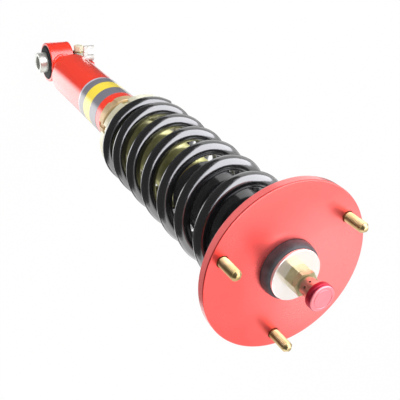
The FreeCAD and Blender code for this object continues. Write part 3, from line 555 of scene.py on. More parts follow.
SPRING_BLACK = GlossPaint(
    "spring_black", (0.006, 0.006, 0.007), (0.010, 0.010, 0.011), 0.00002, 0.05, 0.16, 1.9
)
LABEL = StripedLabel("label_bands")
BLACK_RUBBER = Rubber("black_rubber")
# painted shade: a darker, less shiny copy of the black rubber for the bush in the eye
BUSH_RUBBER_SHADED = Rubber("bush_rubber", (0.010, 0.010, 0.011), (0.028, 0.028, 0.030), specular=0.15)
SOFT_FOAM = Rubber("bump_foam", (0.050, 0.050, 0.048), (0.11, 0.11, 0.105), 500.0, 0.8)
SLEEVE_PLASTIC = MouldedPlastic("sleeve_plastic")
BAND_PLASTIC = MouldedPlastic("band_plastic", (0.16, 0.11, 0.07), 0.5)


# Modelling


def add_object(name: str, data: bpy.types.ID) -> bpy.types.Object:
    """Makes an object and puts it in the scene.

    Args:
        name: the object's name.
        data: its mesh, lamp or camera.

    Returns:
        The object.
    """
    made = bpy.data.objects.new(name, data)
    bpy.context.scene.collection.objects.link(made)
    return made


def evenly(count: int, first: float = 0.0) -> list[float]:
    """Angles in degrees, spaced evenly round a turn."""
    return [first + 360 / count * rank for rank in range(count)]


class Shape:
    """A mesh in millimetres, shaped by operators."""

    def __init__(self) -> None:
        """Starts empty."""
        self.bm = bmesh.new()

    @classmethod
    def turned(cls, outline: Sequence[Corner], steps: int = 96, axis: Axis = Axis.DAMPER) -> "Shape":
        """Spins a closed outline about an axis.

        Args:
            outline: corners as (radius, height) or (radius, height, rounding).
            steps: facets round the piece.
            axis: the axis that the heights run along.

        Returns:
            The turned shape.
        """
        shape = cls()
        bm = shape.bm
        verts = [bm.verts.new((corner[0], 0.0, corner[1])) for corner in outline]
        bm.faces.new(verts)
        rounded = [(vert, corner[2]) for vert, corner in zip(verts, outline) if any(corner[2:])]
        for width in sorted({rounding for _, rounding in rounded}):
            shape.bevel([vert for vert, rounding in rounded if rounding == width], width, "VERTICES", 4)
        bmesh.ops.delete(bm, geom=bm.faces[:], context="FACES_ONLY")
        on_axis = [e for e in bm.edges if all(abs(v.co.x) < 1e-6 for v in e.verts)]
        bmesh.ops.delete(bm, geom=on_axis, context="EDGES")
        shape.spin(shape.everything(), steps=steps, merge=True)
        shape.tidy()
        return shape.turn(90, "Y") if axis is Axis.EYE else shape

    @classmethod
    def ring(
        cls, inner: float, outer: float, low: float, high: float, bore_edge: float = 0.0,
        rim_edge: float = 0.5, steps: int = 96, axis: Axis = Axis.DAMPER,
    ) -> "Shape":
        """A ring with a four sided section.

        Args:
            inner: radius of its bore.
            outer: radius of its rim.
            low: lower end.
            high: upper end.
            bore_edge: rounding of the bore's edges.
            rim_edge: rounding of the rim's edges.
            steps: facets round the ring.
            axis: the axis that it lies round.

        Returns:
            The ring.
        """
        outline = [
            (inner, low, bore_edge), (outer, low, rim_edge),
            (outer, high, rim_edge), (inner, high, bore_edge),
        ]
        return cls.turned(outline, steps, axis)

    @classmethod
    def threaded(
        cls, radius: float, pitch: float, low: float, high: float, depth: float, steps: int = SPIN_STEPS,
        lining: Sequence[Corner] = (),
    ) -> "Shape":
        """A right handed thread with flat ends.

        Args:
            radius: crest of the thread.
            pitch: rise in a turn.
            low: lower end.
            high: upper end.
            depth: crest to root.
            steps: facets in a turn.
            lining: line from the thread's lower end round to its upper end, for a hollow piece.

        Returns:
            The threaded shape.
        """
        shape = cls()
        bm = shape.bm
        start, root = low - 1.5 * pitch, radius - depth
        tooth = [(root, 0.0), (root, 0.2), (radius, 0.5), (radius, 0.7), (root, 1.0)]
        verts = [bm.verts.new((across, 0.0, start + rise * pitch)) for across, rise in tooth]
        for pair in zip(verts, verts[1:]):
            bm.edges.new(pair)
        shape.spin(shape.everything(), steps=steps, rise=pitch / steps)
        one_turn = shape.everything()
        for rank in range(1, math.ceil((high - low) / pitch) + 2):
            copy = bmesh.ops.duplicate(bm, geom=one_turn)["geom"]
            moved = [item for item in copy if isinstance(item, bmesh.types.BMVert)]
            bmesh.ops.translate(bm, verts=moved, vec=(0, 0, rank * pitch))
        shape.merge(2 * SEAM)
        shape.slice_off(high, keep_below=True, close=not lining)
        shape.slice_off(low, keep_below=False, close=not lining)
        if lining:
            shape.line(lining, steps)
        shape.tidy()
        return shape

    @classmethod
    def box(cls, low: Place, high: Place) -> "Shape":
        """A block along the axes.

        Args:
            low: the corner with the lower coordinates.
            high: the corner opposite.

        Returns:
            The block.
        """
        shape = cls()
        size = Vector(high) - Vector(low)
        matrix = Matrix.Translation((Vector(high) + Vector(low)) / 2) @ Matrix.Diagonal((*size, 1.0))
        bmesh.ops.create_cube(shape.bm, size=1.0, matrix=matrix)
        return shape

    @classmethod
    def rod(
        cls, radius: float, low: float, high: float, sides: int = SPIN_STEPS, top: Optional[float] = None
    ) -> "Shape":
        """An upright cylinder, prism or cone.

        Args:
            radius: radius of the foot, and of the top where that isn't given.
            low: height of the foot.
            high: height of the top.
            sides: facets round it.
            top: radius of a cone's top.

        Returns:
            The rod.
        """
        shape = cls()
        bmesh.ops.create_cone(
            shape.bm, cap_ends=True, segments=sides, radius1=radius, radius2=radius if top is None else top,
            depth=high - low, matrix=Matrix.Translation((0, 0, (low + high) / 2)),
        )
        return shape

    def everything(self) -> list[Any]:
        """Every corner, edge and face."""
        return self.bm.verts[:] + self.bm.edges[:] + self.bm.faces[:]

    def spin(
        self, geometry: Sequence[Any], angle: float = FULL_TURN, steps: int = SPIN_STEPS, rise: float = 0.0,
        merge: bool = False,
    ) -> list[Any]:
        """Spins geometry about the damper's axis.

        Args:
            geometry: what is spun.
            angle: radians in all.
            steps: steps in that angle.
            rise: climb in one step.
            merge: whether the last step joins the first.

        Returns:
            The geometry of the last step.
        """
        made = bmesh.ops.spin(
            self.bm, geom=geometry, cent=(0, 0, 0), axis=(0, 0, 1), dvec=(0, 0, rise), angle=angle,
            steps=steps, use_merge=merge,
        )
        return made["geom_last"]

    def bevel(self, geometry: Sequence[Any], width: float, affect: str, segments: int) -> None:
        """Rounds corners or edges."""
        bmesh.ops.bevel(
            self.bm, geom=geometry, offset=width, offset_type="OFFSET", segments=segments,
            profile=0.5, affect=affect, material=-1, clamp_overlap=True,
        )

    def merge(self, distance: float = SEAM) -> None:
        """Makes one of corners that lie together."""
        bmesh.ops.remove_doubles(self.bm, verts=self.bm.verts[:], dist=distance)

    def tidy(self) -> None:
        """Merges doubles and points the faces outwards."""
        self.merge()
        bmesh.ops.recalc_face_normals(self.bm, faces=self.bm.faces[:])

    def close(self, edges: Sequence[bmesh.types.BMEdge]) -> None:
        """Fills the holes that some edges go round."""
        bmesh.ops.holes_fill(self.bm, edges=edges, sides=0)

    def slice_off(self, height: float, keep_below: bool, close: bool = True) -> None:
        """Cuts the shape flat.

        Args:
            height: height of the cut.
            keep_below: whether the lower part stays.
            close: whether the cut is filled.
        """
        bmesh.ops.bisect_plane(
            self.bm, geom=self.everything(), dist=1e-5, plane_co=(0, 0, height), plane_no=(0, 0, 1),
            clear_outer=keep_below, clear_inner=not keep_below,
        )
        if close:
            self.close(self.open_edges(height))

    def open_edges(self, height: float) -> list[bmesh.types.BMEdge]:
        """The open edges at a height."""
        return [
            e for e in self.bm.edges if e.is_boundary and all(abs(v.co.z - height) < 1e-3 for v in e.verts)
        ]

    def line(self, lining: Sequence[Corner], steps: int) -> None:
        """Spins a line inside an open tube and closes the ring between them at each end.

        Args:
            lining: corners of the line as (radius, height).
            steps: facets round it.
        """
        verts = [self.bm.verts.new((across, 0.0, height)) for across, height in lining]
        edges = [self.bm.edges.new(pair) for pair in zip(verts, verts[1:])]
        self.spin(verts + edges, steps=steps, merge=True)
        self.merge()
        for height in (lining[0][1], lining[-1][1]):
            bmesh.ops.bridge_loops(self.bm, edges=self.open_edges(height))

    def turn(self, degrees: float, axis: str = "Z") -> "Shape":
        """Turns the shape about an axis through the origin.

        Args:
            degrees: the angle.
            axis: the axis' name.

        Returns:
            The same shape.
        """
        matrix = Matrix.Rotation(math.radians(degrees), 3, axis)
        bmesh.ops.rotate(self.bm, verts=self.bm.verts[:], cent=(0, 0, 0), matrix=matrix)
        return self

    def move(self, x: float = 0.0, y: float = 0.0, z: float = 0.0) -> "Shape":
        """Moves the shape."""
        bmesh.ops.translate(self.bm, verts=self.bm.verts[:], vec=(x, y, z))
        return self

    def soften(self, width: float, angle: float = 50.0) -> "Shape":
        """Bevels the sharp edges.

        Args:
            width: width of the bevel.
            angle: edges sharper than this many degrees get it.

        Returns:
            The same shape.
        """
        limit = math.radians(angle)
        sharp = [e for e in self.bm.edges if e.is_manifold and e.calc_face_angle(0.0) > limit]
        self.bevel(sharp, width, "EDGES", 2)
        return self

    def join(self, other: "Shape") -> "Shape":
        """Adds another closed shape to this one.

        Args:
            other: the shape that is added.

        Returns:
            The same shape.
        """
        spare = bpy.data.meshes.new("spare")
        other.bm.to_mesh(spare)
        self.bm.from_mesh(spare)
        bpy.data.meshes.remove(spare)
        return self

    def mesh_object(self, name: str) -> bpy.types.Object:
        """Puts the shape in the scene.

        Args:
            name: the object's name.

        Returns:
            The object.
        """
        mesh = bpy.data.meshes.new(name)
        self.bm.to_mesh(mesh)
        return add_object(name, mesh)

    def cut(self, tool: "Shape") -> "Shape":
        """Takes another shape's volume away.

        Args:
            tool: the shape that cuts.

        Returns:
            The same shape.
        """
        body, cutter = self.mesh_object("body"), tool.mesh_object("cutter")
        modifier = body.modifiers.new("cut", "BOOLEAN")
        modifier.operation = "DIFFERENCE"
        modifier.solver = "EXACT"
        modifier.object = cutter
        result = bpy.data.meshes.new_from_object(body.evaluated_get(bpy.context.evaluated_depsgraph_get()))
        self.bm.clear()
        self.bm.from_mesh(result)
        spares = [body.data, cutter.data, result]
        for spare in (body, cutter):
            bpy.data.objects.remove(spare)
        for mesh in spares:
            bpy.data.meshes.remove(mesh)
        self.tidy()
        return self

    def cut_round(self, angles: Iterable[float], tool: Callable[[], "Shape"]) -> "Shape":
        """Cuts with the same tool at several angles.

        Args:
            angles: degrees from X.
            tool: makes the tool as it stands at X.

        Returns:
            The same shape.
        """
        for angle in angles:
            self.cut(tool().turn(angle))
        return self

    def piece(self, name: str, crease: float = CREASE) -> bpy.types.Object:
        """Finishes the shape as an object in metres, its soft edges shaded round.

        Args:
            name: the object's name.
            crease: edges sharper than this many degrees stay sharp.

        Returns:
            The object.
        """
        bmesh.ops.scale(self.bm, vec=(MM, MM, MM), verts=self.bm.verts[:])
        for face in self.bm.faces:
            face.smooth = True
        made = self.mesh_object(name)
        self.bm.free()
        made.data.set_sharp_from_angle(angle=math.radians(crease))
        made.modifiers.new("shading", "WEIGHTED_NORMAL").keep_sharp = True
        return made


@dataclass
class SubAssembly:
    """A group of pieces that ride on one body of the frame, unless a piece names another."""

    body: ClassVar[str]

    def fit(
        self, shape: Shape, name: str, slot: str, finish: Finish, *replaced: str, body: Optional[str] = None,
        crease: float = CREASE,
    ) -> bpy.types.Object:
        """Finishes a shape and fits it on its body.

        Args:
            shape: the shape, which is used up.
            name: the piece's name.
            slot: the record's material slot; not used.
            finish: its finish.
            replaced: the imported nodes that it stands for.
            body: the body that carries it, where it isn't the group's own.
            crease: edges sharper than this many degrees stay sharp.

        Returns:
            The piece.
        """
        made = shape.piece(name, crease)
        made.data.materials.append(finish.material())
        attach(made, body or self.body)
        if replaced:
            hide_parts(*replaced)
        log.info("%s: %d faces on %s", name, len(made.data.polygons), body or self.body)
        return made

    def dress(self, finish: Finish, *nodes: str) -> None:
        """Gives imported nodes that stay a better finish.

        Args:
            finish: the finish.
            nodes: names of the nodes.
        """
        for name in nodes:
            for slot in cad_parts[name].material_slots:
                slot.material = finish.material()
            log.info("%s: dressed in %s", name, finish.name)


@dataclass
class TopPlate(SubAssembly):
    """Round red plate with three pressed studs."""

    body: ClassVar[str] = "top_mount"
    radius: float = 66.0
    under: float = 491.3
    face: float = 498.5
    edge: float = 0.8
    bore: float = 14.1
    bore_edge: float = 0.4
    recess_radius: float = 22.5
    recess: float = 0.6
    recess_edge: float = 0.2
    hole_gap: float = 0.05
    sink_depth: float = 0.4
    sink_past: float = 0.2
    stud_circle: float = 55.7
    stud_radius: float = 4.0
    head_radius: float = 6.5
    head_height: float = 2.6
    head_edge: float = 0.7
    knurl_radius: float = 4.3
    knurl_end: float = -1.8
    knurl_edge: float = 0.2
    shank_radius: float = 3.6
    shank_start: float = -1.4
    shank_end: float = 1.2
    thread_start: float = 0.6
    thread_depth: float = 0.45
    pitch: float = 1.25
    stud_top: float = 518.5
    tip_length: float = 2.6
    tip_lap: float = 0.4
    tip_foot: float = 3.75
    tip_radius: float = 1.9
    tip_edge: float = 0.3
    stud_angles: tuple[tuple[str, float], ...] = (("first", 342.2), ("second", 86.5), ("third", 213.4))

    def drill(self) -> Shape:
        """Drill for a stud's hole."""
        hole = Shape.rod(self.knurl_radius + self.hole_gap, self.under - PAST, self.face + PAST)
        return hole.move(x=self.stud_circle)

    def countersink(self) -> Shape:
        """Countersink for a stud's hole."""
        depth, foot = self.sink_depth + self.sink_past, self.face - self.sink_depth
        cone = Shape.rod(self.knurl_radius, foot, foot + depth, top=self.knurl_radius + depth)
        return cone.move(x=self.stud_circle)

    def build_plate(self) -> None:
        """Turns the plate and drills it for the studs."""
        floor = self.face - self.recess
        plate = Shape.turned([
            (self.bore, self.under, self.bore_edge), (self.radius, self.under, self.edge),
            (self.radius, self.face, self.edge), (self.recess_radius, self.face, self.recess_edge),
            (self.recess_radius, floor), (self.bore, floor, self.bore_edge),
        ], steps=192)
        for _, angle in self.stud_angles:
            plate.cut(self.drill().turn(angle)).cut(self.countersink().turn(angle))
        self.fit(plate, "plate", "red_plate", PLATE_RED, "top_plate")

    def build_stud(self, name: str, angle: float) -> None:
        """A stud: pressed head, a plain shank where the real one is knurled, thread and a pointed end.

        Args:
            name: which stud.
            angle: degrees from X.
        """
        head, shoulder = self.under - self.head_height, self.stud_top - self.tip_length
        stud = Shape.turned([
            (0.0, head), (self.head_radius, head, self.head_edge), (self.head_radius, self.under),
            (self.knurl_radius, self.under), (self.knurl_radius, self.face + self.knurl_end, self.knurl_edge),
            (self.shank_radius, self.face + self.shank_start),
            (self.shank_radius, self.face + self.shank_end), (0.0, self.face + self.shank_end),
        ], steps=48)
        thread_foot = self.face + self.thread_start
        stud.join(Shape.threaded(self.stud_radius, self.pitch, thread_foot, shoulder, self.thread_depth))
        stud.join(Shape.turned([
            (0.0, shoulder - self.tip_lap), (self.tip_foot, shoulder - self.tip_lap),
            (self.tip_radius, self.stud_top - self.tip_edge, self.tip_edge), (0.0, self.stud_top),
        ], steps=48))
        stud.move(x=self.stud_circle).turn(angle)
        self.fit(stud, f"stud_{name}_turned", "gold_zinc", GOLD_ZINC, f"stud_{name}")

    def build(self) -> None:
        """Builds the plate and its studs."""
        self.build_plate()
        for name, angle in self.stud_angles:
            self.build_stud(name, angle)


@dataclass
class RubberMount(SubAssembly):
    """Rubber rings above and below the plate."""

    body: ClassVar[str] = "top_mount"
    bore: float = 8.8
    neck: float = 13.8
    upper_radius: float = 22.2
    upper_low: float = 497.9
    upper_shoulder: float = 503.0
    upper_slope: float = 21.2
    upper_slope_high: float = 506.0
    upper_rim: float = 20.0
    upper_high: float = 507.0
    neck_low: float = 495.1
    lower_radius: float = 30.0
    lower_chamfer: float = 1.5
    lower_low: float = 485.3
    lower_high: float = 491.3
    neck_high: float = 494.7

    def build(self) -> None:
        """Builds both rings."""
        upper = Shape.turned([
            (self.bore, self.neck_low), (self.neck, self.neck_low), (self.neck, self.upper_low),
            (self.upper_radius, self.upper_low, 0.6), (self.upper_radius, self.upper_shoulder, 1.6),
            (self.upper_slope, self.upper_slope_high, 0.8), (self.upper_rim, self.upper_high, 0.4),
            (self.bore, self.upper_high),
        ], steps=128)
        self.fit(upper, "upper_ring", "black_rubber", BLACK_RUBBER, "upper_cushion")
        lower = Shape.turned([
            (self.bore, self.lower_low), (self.lower_radius - self.lower_chamfer, self.lower_low, 1.0),
            (self.lower_radius, self.lower_low + self.lower_chamfer, 0.8),
            (self.lower_radius, self.lower_high, 0.6), (self.neck, self.lower_high),
            (self.neck, self.neck_high), (self.bore, self.neck_high),
        ], steps=128)
        self.fit(lower, "lower_ring", "black_rubber", BLACK_RUBBER, "lower_cushion")


@dataclass
class RodTop(SubAssembly):
    """Washer, nuts, click housing and damping knob on the rod's end."""

    body: ClassVar[str] = "rod_group"
    stub: float = 6.1
    washer_radius: float = 19.7
    washer_low: float = 507.0
    washer_high: float = 509.5
    collar_radius: float = 6.9
    collar_bore: float = 2.6
    collar_low: float = 520.9
    collar_high: float = 531.9
    collar_chamfer: float = 0.7
    collar_edge: float = 0.3
    hole_radius: float = 0.9
    hole_depth: float = 2.2
    hole_height: float = 526.5
    hole_count: int = 8
    hole_turn: float = 20.0
    knob_radius: float = 10.1
    knob_face: float = 9.0
    knob_low: float = 533.1
    knob_high: float = 538.9
    knob_bevel: float = 1.1
    knob_edge: float = 0.2
    knob_groove: float = 536.7
    groove_depth: float = 0.6
    face_ring: tuple[float, ...] = (7.4, 7.2, 6.8, 6.6)
    face_ring_depth: float = 0.25
    knob_bore: float = 2.3
    knob_bore_top: float = 536.0

    def build_collar(self) -> None:
        """Click housing with a row of small holes."""
        small, end = self.collar_radius - self.collar_chamfer, self.collar_chamfer
        collar = Shape.turned([
            (self.collar_bore, self.collar_low), (small, self.collar_low),
            (self.collar_radius, self.collar_low + end, self.collar_edge),
            (self.collar_radius, self.collar_high - end, self.collar_edge),
            (small, self.collar_high), (self.collar_bore, self.collar_high),
        ], steps=96)

        def drill() -> Shape:
            """Small drill that points at the damper's axis."""
            low, high = self.collar_radius - self.hole_depth, self.collar_radius + PAST
            return Shape.rod(self.hole_radius, low, high, sides=16).turn(90, "Y").move(z=self.hole_height)

        collar.cut_round(evenly(self.hole_count, self.hole_turn), drill)
        self.fit(collar, "click_housing", "collar_brass", COLLAR_BRASS, "click_collar")

    def build_knob(self) -> None:
        """Damping knob with a groove, a bevel and a shallow ring on its plain face."""
        outer, rise, rest, inner = self.face_ring
        sunk = self.knob_high - self.face_ring_depth
        knob = Shape.turned([
            (self.knob_bore, self.knob_low), (self.knob_radius, self.knob_low, 0.5),
            (self.knob_radius, self.knob_groove - self.groove_depth),
            (self.knob_radius - self.groove_depth, self.knob_groove),
            (self.knob_radius, self.knob_groove + self.groove_depth),
            (self.knob_radius, self.knob_high - self.knob_bevel, self.knob_edge),
            (self.knob_face, self.knob_high, self.knob_edge),
            (outer, self.knob_high), (rise, sunk), (rest, sunk), (inner, self.knob_high),
            (0.0, self.knob_high), (0.0, self.knob_bore_top), (self.knob_bore, self.knob_bore_top),
        ], steps=128)
        self.fit(knob, "knob", "knob_red", KNOB_RED, "adjuster_knob", body="adjuster")

    def build(self) -> None:
        """Builds the turned pieces and dresses the nuts."""
        washer = Shape.ring(self.stub, self.washer_radius, self.washer_low, self.washer_high, steps=128)
        self.fit(washer, "washer", "gold_zinc", GOLD_WASHER, "upper_washer")
        self.dress(NUT_ZINC, "rod_nut", "jam_nut")
        self.build_collar()
        self.build_knob()
        self.dress(BARE_STEEL, "adjuster_rod", "spacer_sleeve")


@dataclass
class RodGroup(SubAssembly):
    """Chrome rod, upper spring seat, dust sleeve and bump stop."""

    body: ClassVar[str] = "rod_group"
    rod_radius: float = 8.0
    rod_bore: float = 2.6
    rod_edge: float = 0.4
    gap: float = 0.1
    stub: float = 6.0
    foot: float = 298.6
    shoulder: float = 323.0
    seat_low: float = 480.3
    seat_high: float = 485.3
    seat_edge: float = 0.7
    stub_top: float = 520.9
    seat_radius: float = 44.5
    pilot_radius: float = 30.6
    pilot_bore: float = 27.6
    pilot_low: float = 468.3
    sleeve_radius: float = 26.7
    sleeve_bore: float = 25.3
    sleeve_low: float = 374.6
    stop_radius: float = 19.5
    stop_tip: float = 13.5
    stop_low: float = 434.9
    stop_high: float = 478.9
    stop_folds: tuple[Corner, ...] = (
        (17.0, 0.30, 2.0), (14.5, 0.37, 1.5), (19.5, 0.46, 2.5), (19.5, 0.66, 2.5), (15.5, 0.73, 1.5),
        (19.5, 0.80, 2.0),
    )

    def build_rod(self) -> None:
        """Chrome rod with its stubs."""
        rod = Shape.turned([
            (self.rod_bore, self.foot), (self.stub, self.foot, self.rod_edge), (self.stub, self.shoulder),
            (self.rod_radius, self.shoulder, self.rod_edge), (self.rod_radius, self.seat_low, self.rod_edge),
            (self.stub, self.seat_low), (self.stub, self.stub_top, self.rod_edge),
            (self.rod_bore, self.stub_top),
        ], steps=96)
        self.fit(rod, "rod", "chrome_rod", HARD_CHROME, "piston_rod")

    def build_seat(self) -> None:
        """Upper spring seat with its centring ring."""
        bore = self.stub + self.gap
        seat = Shape.turned([
            (bore, self.seat_low), (self.pilot_bore, self.seat_low), (self.pilot_bore, self.pilot_low, 0.5),
            (self.pilot_radius, self.pilot_low, 0.8), (self.pilot_radius, self.seat_low),
            (self.seat_radius, self.seat_low, self.seat_edge),
            (self.seat_radius, self.seat_high, self.seat_edge), (bore, self.seat_high),
        ], steps=144)
        self.fit(seat, "seat", "black_alloy", BLACK_ALLOY, "spring_seat")

    def build_sleeve(self) -> None:
        """Dust sleeve with a rolled lower lip."""
        neck = self.rod_radius + self.gap
        sleeve = Shape.turned([
            (self.sleeve_bore, self.sleeve_low, 0.4), (self.sleeve_radius, self.sleeve_low, 0.6),
            (self.sleeve_radius, self.seat_low, 1.2), (neck, self.seat_low), (neck, self.stop_high),
            (self.sleeve_bore, self.stop_high),
        ], steps=128)
        self.fit(sleeve, "dust_tube", "black_plastic", SLEEVE_PLASTIC, "dust_sleeve")

    def build_stop(self) -> None:
        """Foam bump stop with two folds, whose heights are shares of its own."""
        bore, height = self.rod_radius + self.gap, self.stop_high - self.stop_low
        folds = [(radius, self.stop_low + height * share, edge) for radius, share, edge in self.stop_folds]
        stop = Shape.turned([
            (bore, self.stop_low, 1.0), (self.stop_tip, self.stop_low, 2.5), *folds,
            (self.stop_radius, self.stop_high, 1.5), (bore, self.stop_high),
        ], steps=96)
        self.fit(stop, "foam_stop", "bump_foam", SOFT_FOAM, "bump_stop")

    def build(self) -> None:
        """Builds the group and dresses the piston, which stays hidden in the damper."""
        self.build_rod()
        self.build_seat()
        self.build_sleeve()
        self.build_stop()
        self.dress(BARE_ALLOY, "piston")
        self.dress(BAND_PLASTIC, "piston_band")
        self.dress(BARE_STEEL, "rebound_shims", "compression_shims", "piston_nut")


@dataclass
class CoilSpring(SubAssembly):
    """Open coil spring of round wire with closed, ground ends."""

    body: ClassVar[str] = "perch"
    middle: float = 38.05
    wire: float = 6.25
    low: float = 260.5
    high: float = 480.3
    ground: float = 0.6
    free_turns: float = 7.0
    closed_turns: float = 0.44
    lead_turns: float = 0.22
    phase: float = 38.5
    steps: int = 72
    sides: int = 24
    kept_length: float = 0.727

    def rise(self, turns: float) -> float:
        """How far the wire has climbed.

        Args:
            turns: turns since the lower closed end.

        Returns:
            The climb in pitches.
        """
        lead, free = self.lead_turns, self.free_turns
        if turns <= 0:
            return 0.0
        if turns < lead:
            return turns**2 / (2 * lead)
        if turns <= free - lead:
            return turns - lead / 2
        if turns < free:
            return free - lead - (free - turns) ** 2 / (2 * lead)
        return free - lead

    def build(self) -> None:
        """Winds the wire step by step, each step with its own rise, and grinds the ends flat."""
        shape = Shape()
        bm = shape.bm
        inset = self.wire - self.ground
        pitch = (self.high - self.low - 2 * inset) / (self.free_turns - self.lead_turns)
        start = (self.middle, 0, self.low + inset)
        place = Matrix.Translation(start) @ Matrix.Rotation(math.radians(90), 4, "X")
        bmesh.ops.create_circle(bm, cap_ends=False, segments=self.sides, radius=self.wire, matrix=place)
        shape.turn(self.phase - 360 * self.closed_turns)
        in_all = self.free_turns + 2 * self.closed_turns
        count = round(in_all * self.steps)
        share = in_all / count
        last = bm.verts[:] + bm.edges[:]
        for step in range(count):
            turns = step * share - self.closed_turns
            climb = pitch * (self.rise(turns + share) - self.rise(turns))
            last = shape.spin(last, share * FULL_TURN, 1, climb)
        shape.close([e for e in bm.edges if e.is_boundary])
        shape.slice_off(self.high, keep_below=True)
        shape.slice_off(self.low, keep_below=False)
        shape.tidy()
        made = self.fit(shape, "spring", "black_spring", SPRING_BLACK, "coil_spring")
        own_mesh(made)


@dataclass
class PerchAndRings(SubAssembly):
    """Threaded perch under the spring and the two lock rings."""

    body: ClassVar[str] = "perch"
    bore: float = 22.8
    bore_edge: float = 0.4
    hub_radius: float = 27.0
    hub_low: float = 245.5
    hub_edge: float = 0.6
    flange_low: float = 251.5
    flange_high: float = 260.5
    flange_radius: float = 42.0
    flange_edge: float = 1.0
    pilot_radius: float = 30.6
    pilot_high: float = 267.5
    notches: int = 8
    notch_turn: float = 26.0
    notch_width: float = 6.5
    notch_depth: float = 3.5
    ring_radius: float = 25.7
    ring_height: float = 10.5
    ring_bore_edge: float = 0.3
    ring_rim_edge: float = 0.7
    ring_notches: int = 6
    ring_notch_width: float = 5.0
    ring_notch_depth: float = 1.4
    rings: tuple[tuple[str, str, float, str], ...] = (
        ("upper_lock_ring", "perch_lock", 235.0, "perch_lock_ring"),
        ("lower_lock_ring", "bracket_lock", 207.5, "bracket_lock_ring"),
    )

    def notch(
        self, radius: float, depth: float, width: float, low: float, high: float
    ) -> Callable[[], Shape]:
        """How to make the block that cuts a spanner notch.

        Args:
            radius: outer radius of the piece.
            depth: how deep the notch goes.
            width: how wide it is.
            low: lower face of the piece.
            high: upper face of the piece.

        Returns:
            A function that makes the block.
        """
        near, far = (radius - depth, -width / 2, low - PAST), (radius + depth, width / 2, high + PAST)
        return lambda: Shape.box(near, far)

    def build_perch(self) -> None:
        """Flange with spanner notches on a hub, and the ring that centres the spring."""
        perch = Shape.turned([
            (self.bore, self.hub_low, self.bore_edge), (self.hub_radius, self.hub_low, self.hub_edge),
            (self.hub_radius, self.flange_low), (self.flange_radius, self.flange_low, self.flange_edge),
            (self.flange_radius, self.flange_high, self.flange_edge), (self.pilot_radius, self.flange_high),
            (self.pilot_radius, self.pilot_high, self.flange_edge),
            (self.bore, self.pilot_high, self.bore_edge),
        ], steps=144)
        block = self.notch(
            self.flange_radius, self.notch_depth, self.notch_width, self.flange_low, self.flange_high
        )
        perch.cut_round(evenly(self.notches, self.notch_turn), block)
        self.fit(perch, "perch_nut", "gold_alloy", GOLD_ALLOY, "spring_perch")

    def build(self) -> None:
        """Builds the perch and both rings."""
        self.build_perch()
        for name, body, low, node in self.rings:
            high = low + self.ring_height
            ring = Shape.ring(
                self.bore, self.ring_radius, low, high, self.ring_bore_edge, self.ring_rim_edge, steps=120
            )
            block = self.notch(self.ring_radius, self.ring_notch_depth, self.ring_notch_width, low, high)
            ring.cut_round(evenly(self.ring_notches), block)
            self.fit(ring, name, "gold_alloy", RING_ALLOY, node, body=body)


@dataclass
class Damper(SubAssembly):
    """Threaded damper tube with its gland nut and seal."""

    body: ClassVar[str] = "damper"
    radius: float = 22.5
    bore: float = 20.0
    foot: float = 74.0
    foot_radius: float = 21.6
    thread_foot: float = 156.5
    thread_depth: float = 0.7
    thread_steps: int = 72
    pitch: float = 2.0
    top: float = 368.0
    gland_low: float = 363.5
    gland_high: float = 371.6
    plug_radius: float = 19.9
    rod_bore: float = 8.3
    wiper_radius: float = 10.3
    wiper_depth: float = 0.8
    hole_radius: float = 1.9
    hole_circle: float = 15.25
    hole_depth: float = 2.6
    hole_turn: float = 25.0
    hole_count: int = 4
    seal_low: float = 359.5
    seal_edge: float = 0.5

    def build_tube(self) -> None:
        """Tube with a long thread, bored right through."""
        lining = (
            (self.foot_radius, self.thread_foot), (self.foot_radius, self.foot), (self.bore, self.foot),
            (self.bore, self.top),
        )
        thread = Shape.threaded(
            self.radius, self.pitch, self.thread_foot, self.top, self.thread_depth, self.thread_steps, lining
        )
        self.fit(thread, "threaded_tube", "gold_zinc", GOLD_THREAD, "damper_tube", crease=60.0)

    def build_gland(self) -> None:
        """Gland nut with pin spanner holes."""
        sunk = self.gland_high - self.wiper_depth
        gland = Shape.turned([
            (self.rod_bore, self.gland_low), (self.plug_radius, self.gland_low), (self.plug_radius, self.top),
            (self.radius, self.top), (self.radius, self.gland_high, 1.0),
            (self.wiper_radius, self.gland_high, 0.3), (self.wiper_radius, sunk), (self.rod_bore, sunk),
        ], steps=96)

        def drill() -> Shape:
            """Drill for a pin spanner's hole."""
            low, high = self.gland_high - self.hole_depth, self.gland_high + PAST
            return Shape.rod(self.hole_radius, low, high, sides=20).move(x=self.hole_circle)

        gland.cut_round(evenly(self.hole_count, self.hole_turn), drill)
        self.fit(gland, "gland", "gold_zinc", GOLD_ZINC, "gland_nut")

    def build(self) -> None:
        """Builds the tube, gland nut and seal, and dresses what stays inside."""
        self.build_tube()
        self.build_gland()
        seal = Shape.ring(
            self.rod_bore, self.plug_radius, self.seal_low, self.gland_low,
            self.seal_edge, self.seal_edge, steps=72,
        )
        self.fit(seal, "seal", "black_rubber", BLACK_RUBBER, "rod_seal")
        self.dress(BARE_STEEL, "base_plug")
        self.dress(BARE_ALLOY, "rod_guide", "floating_piston")


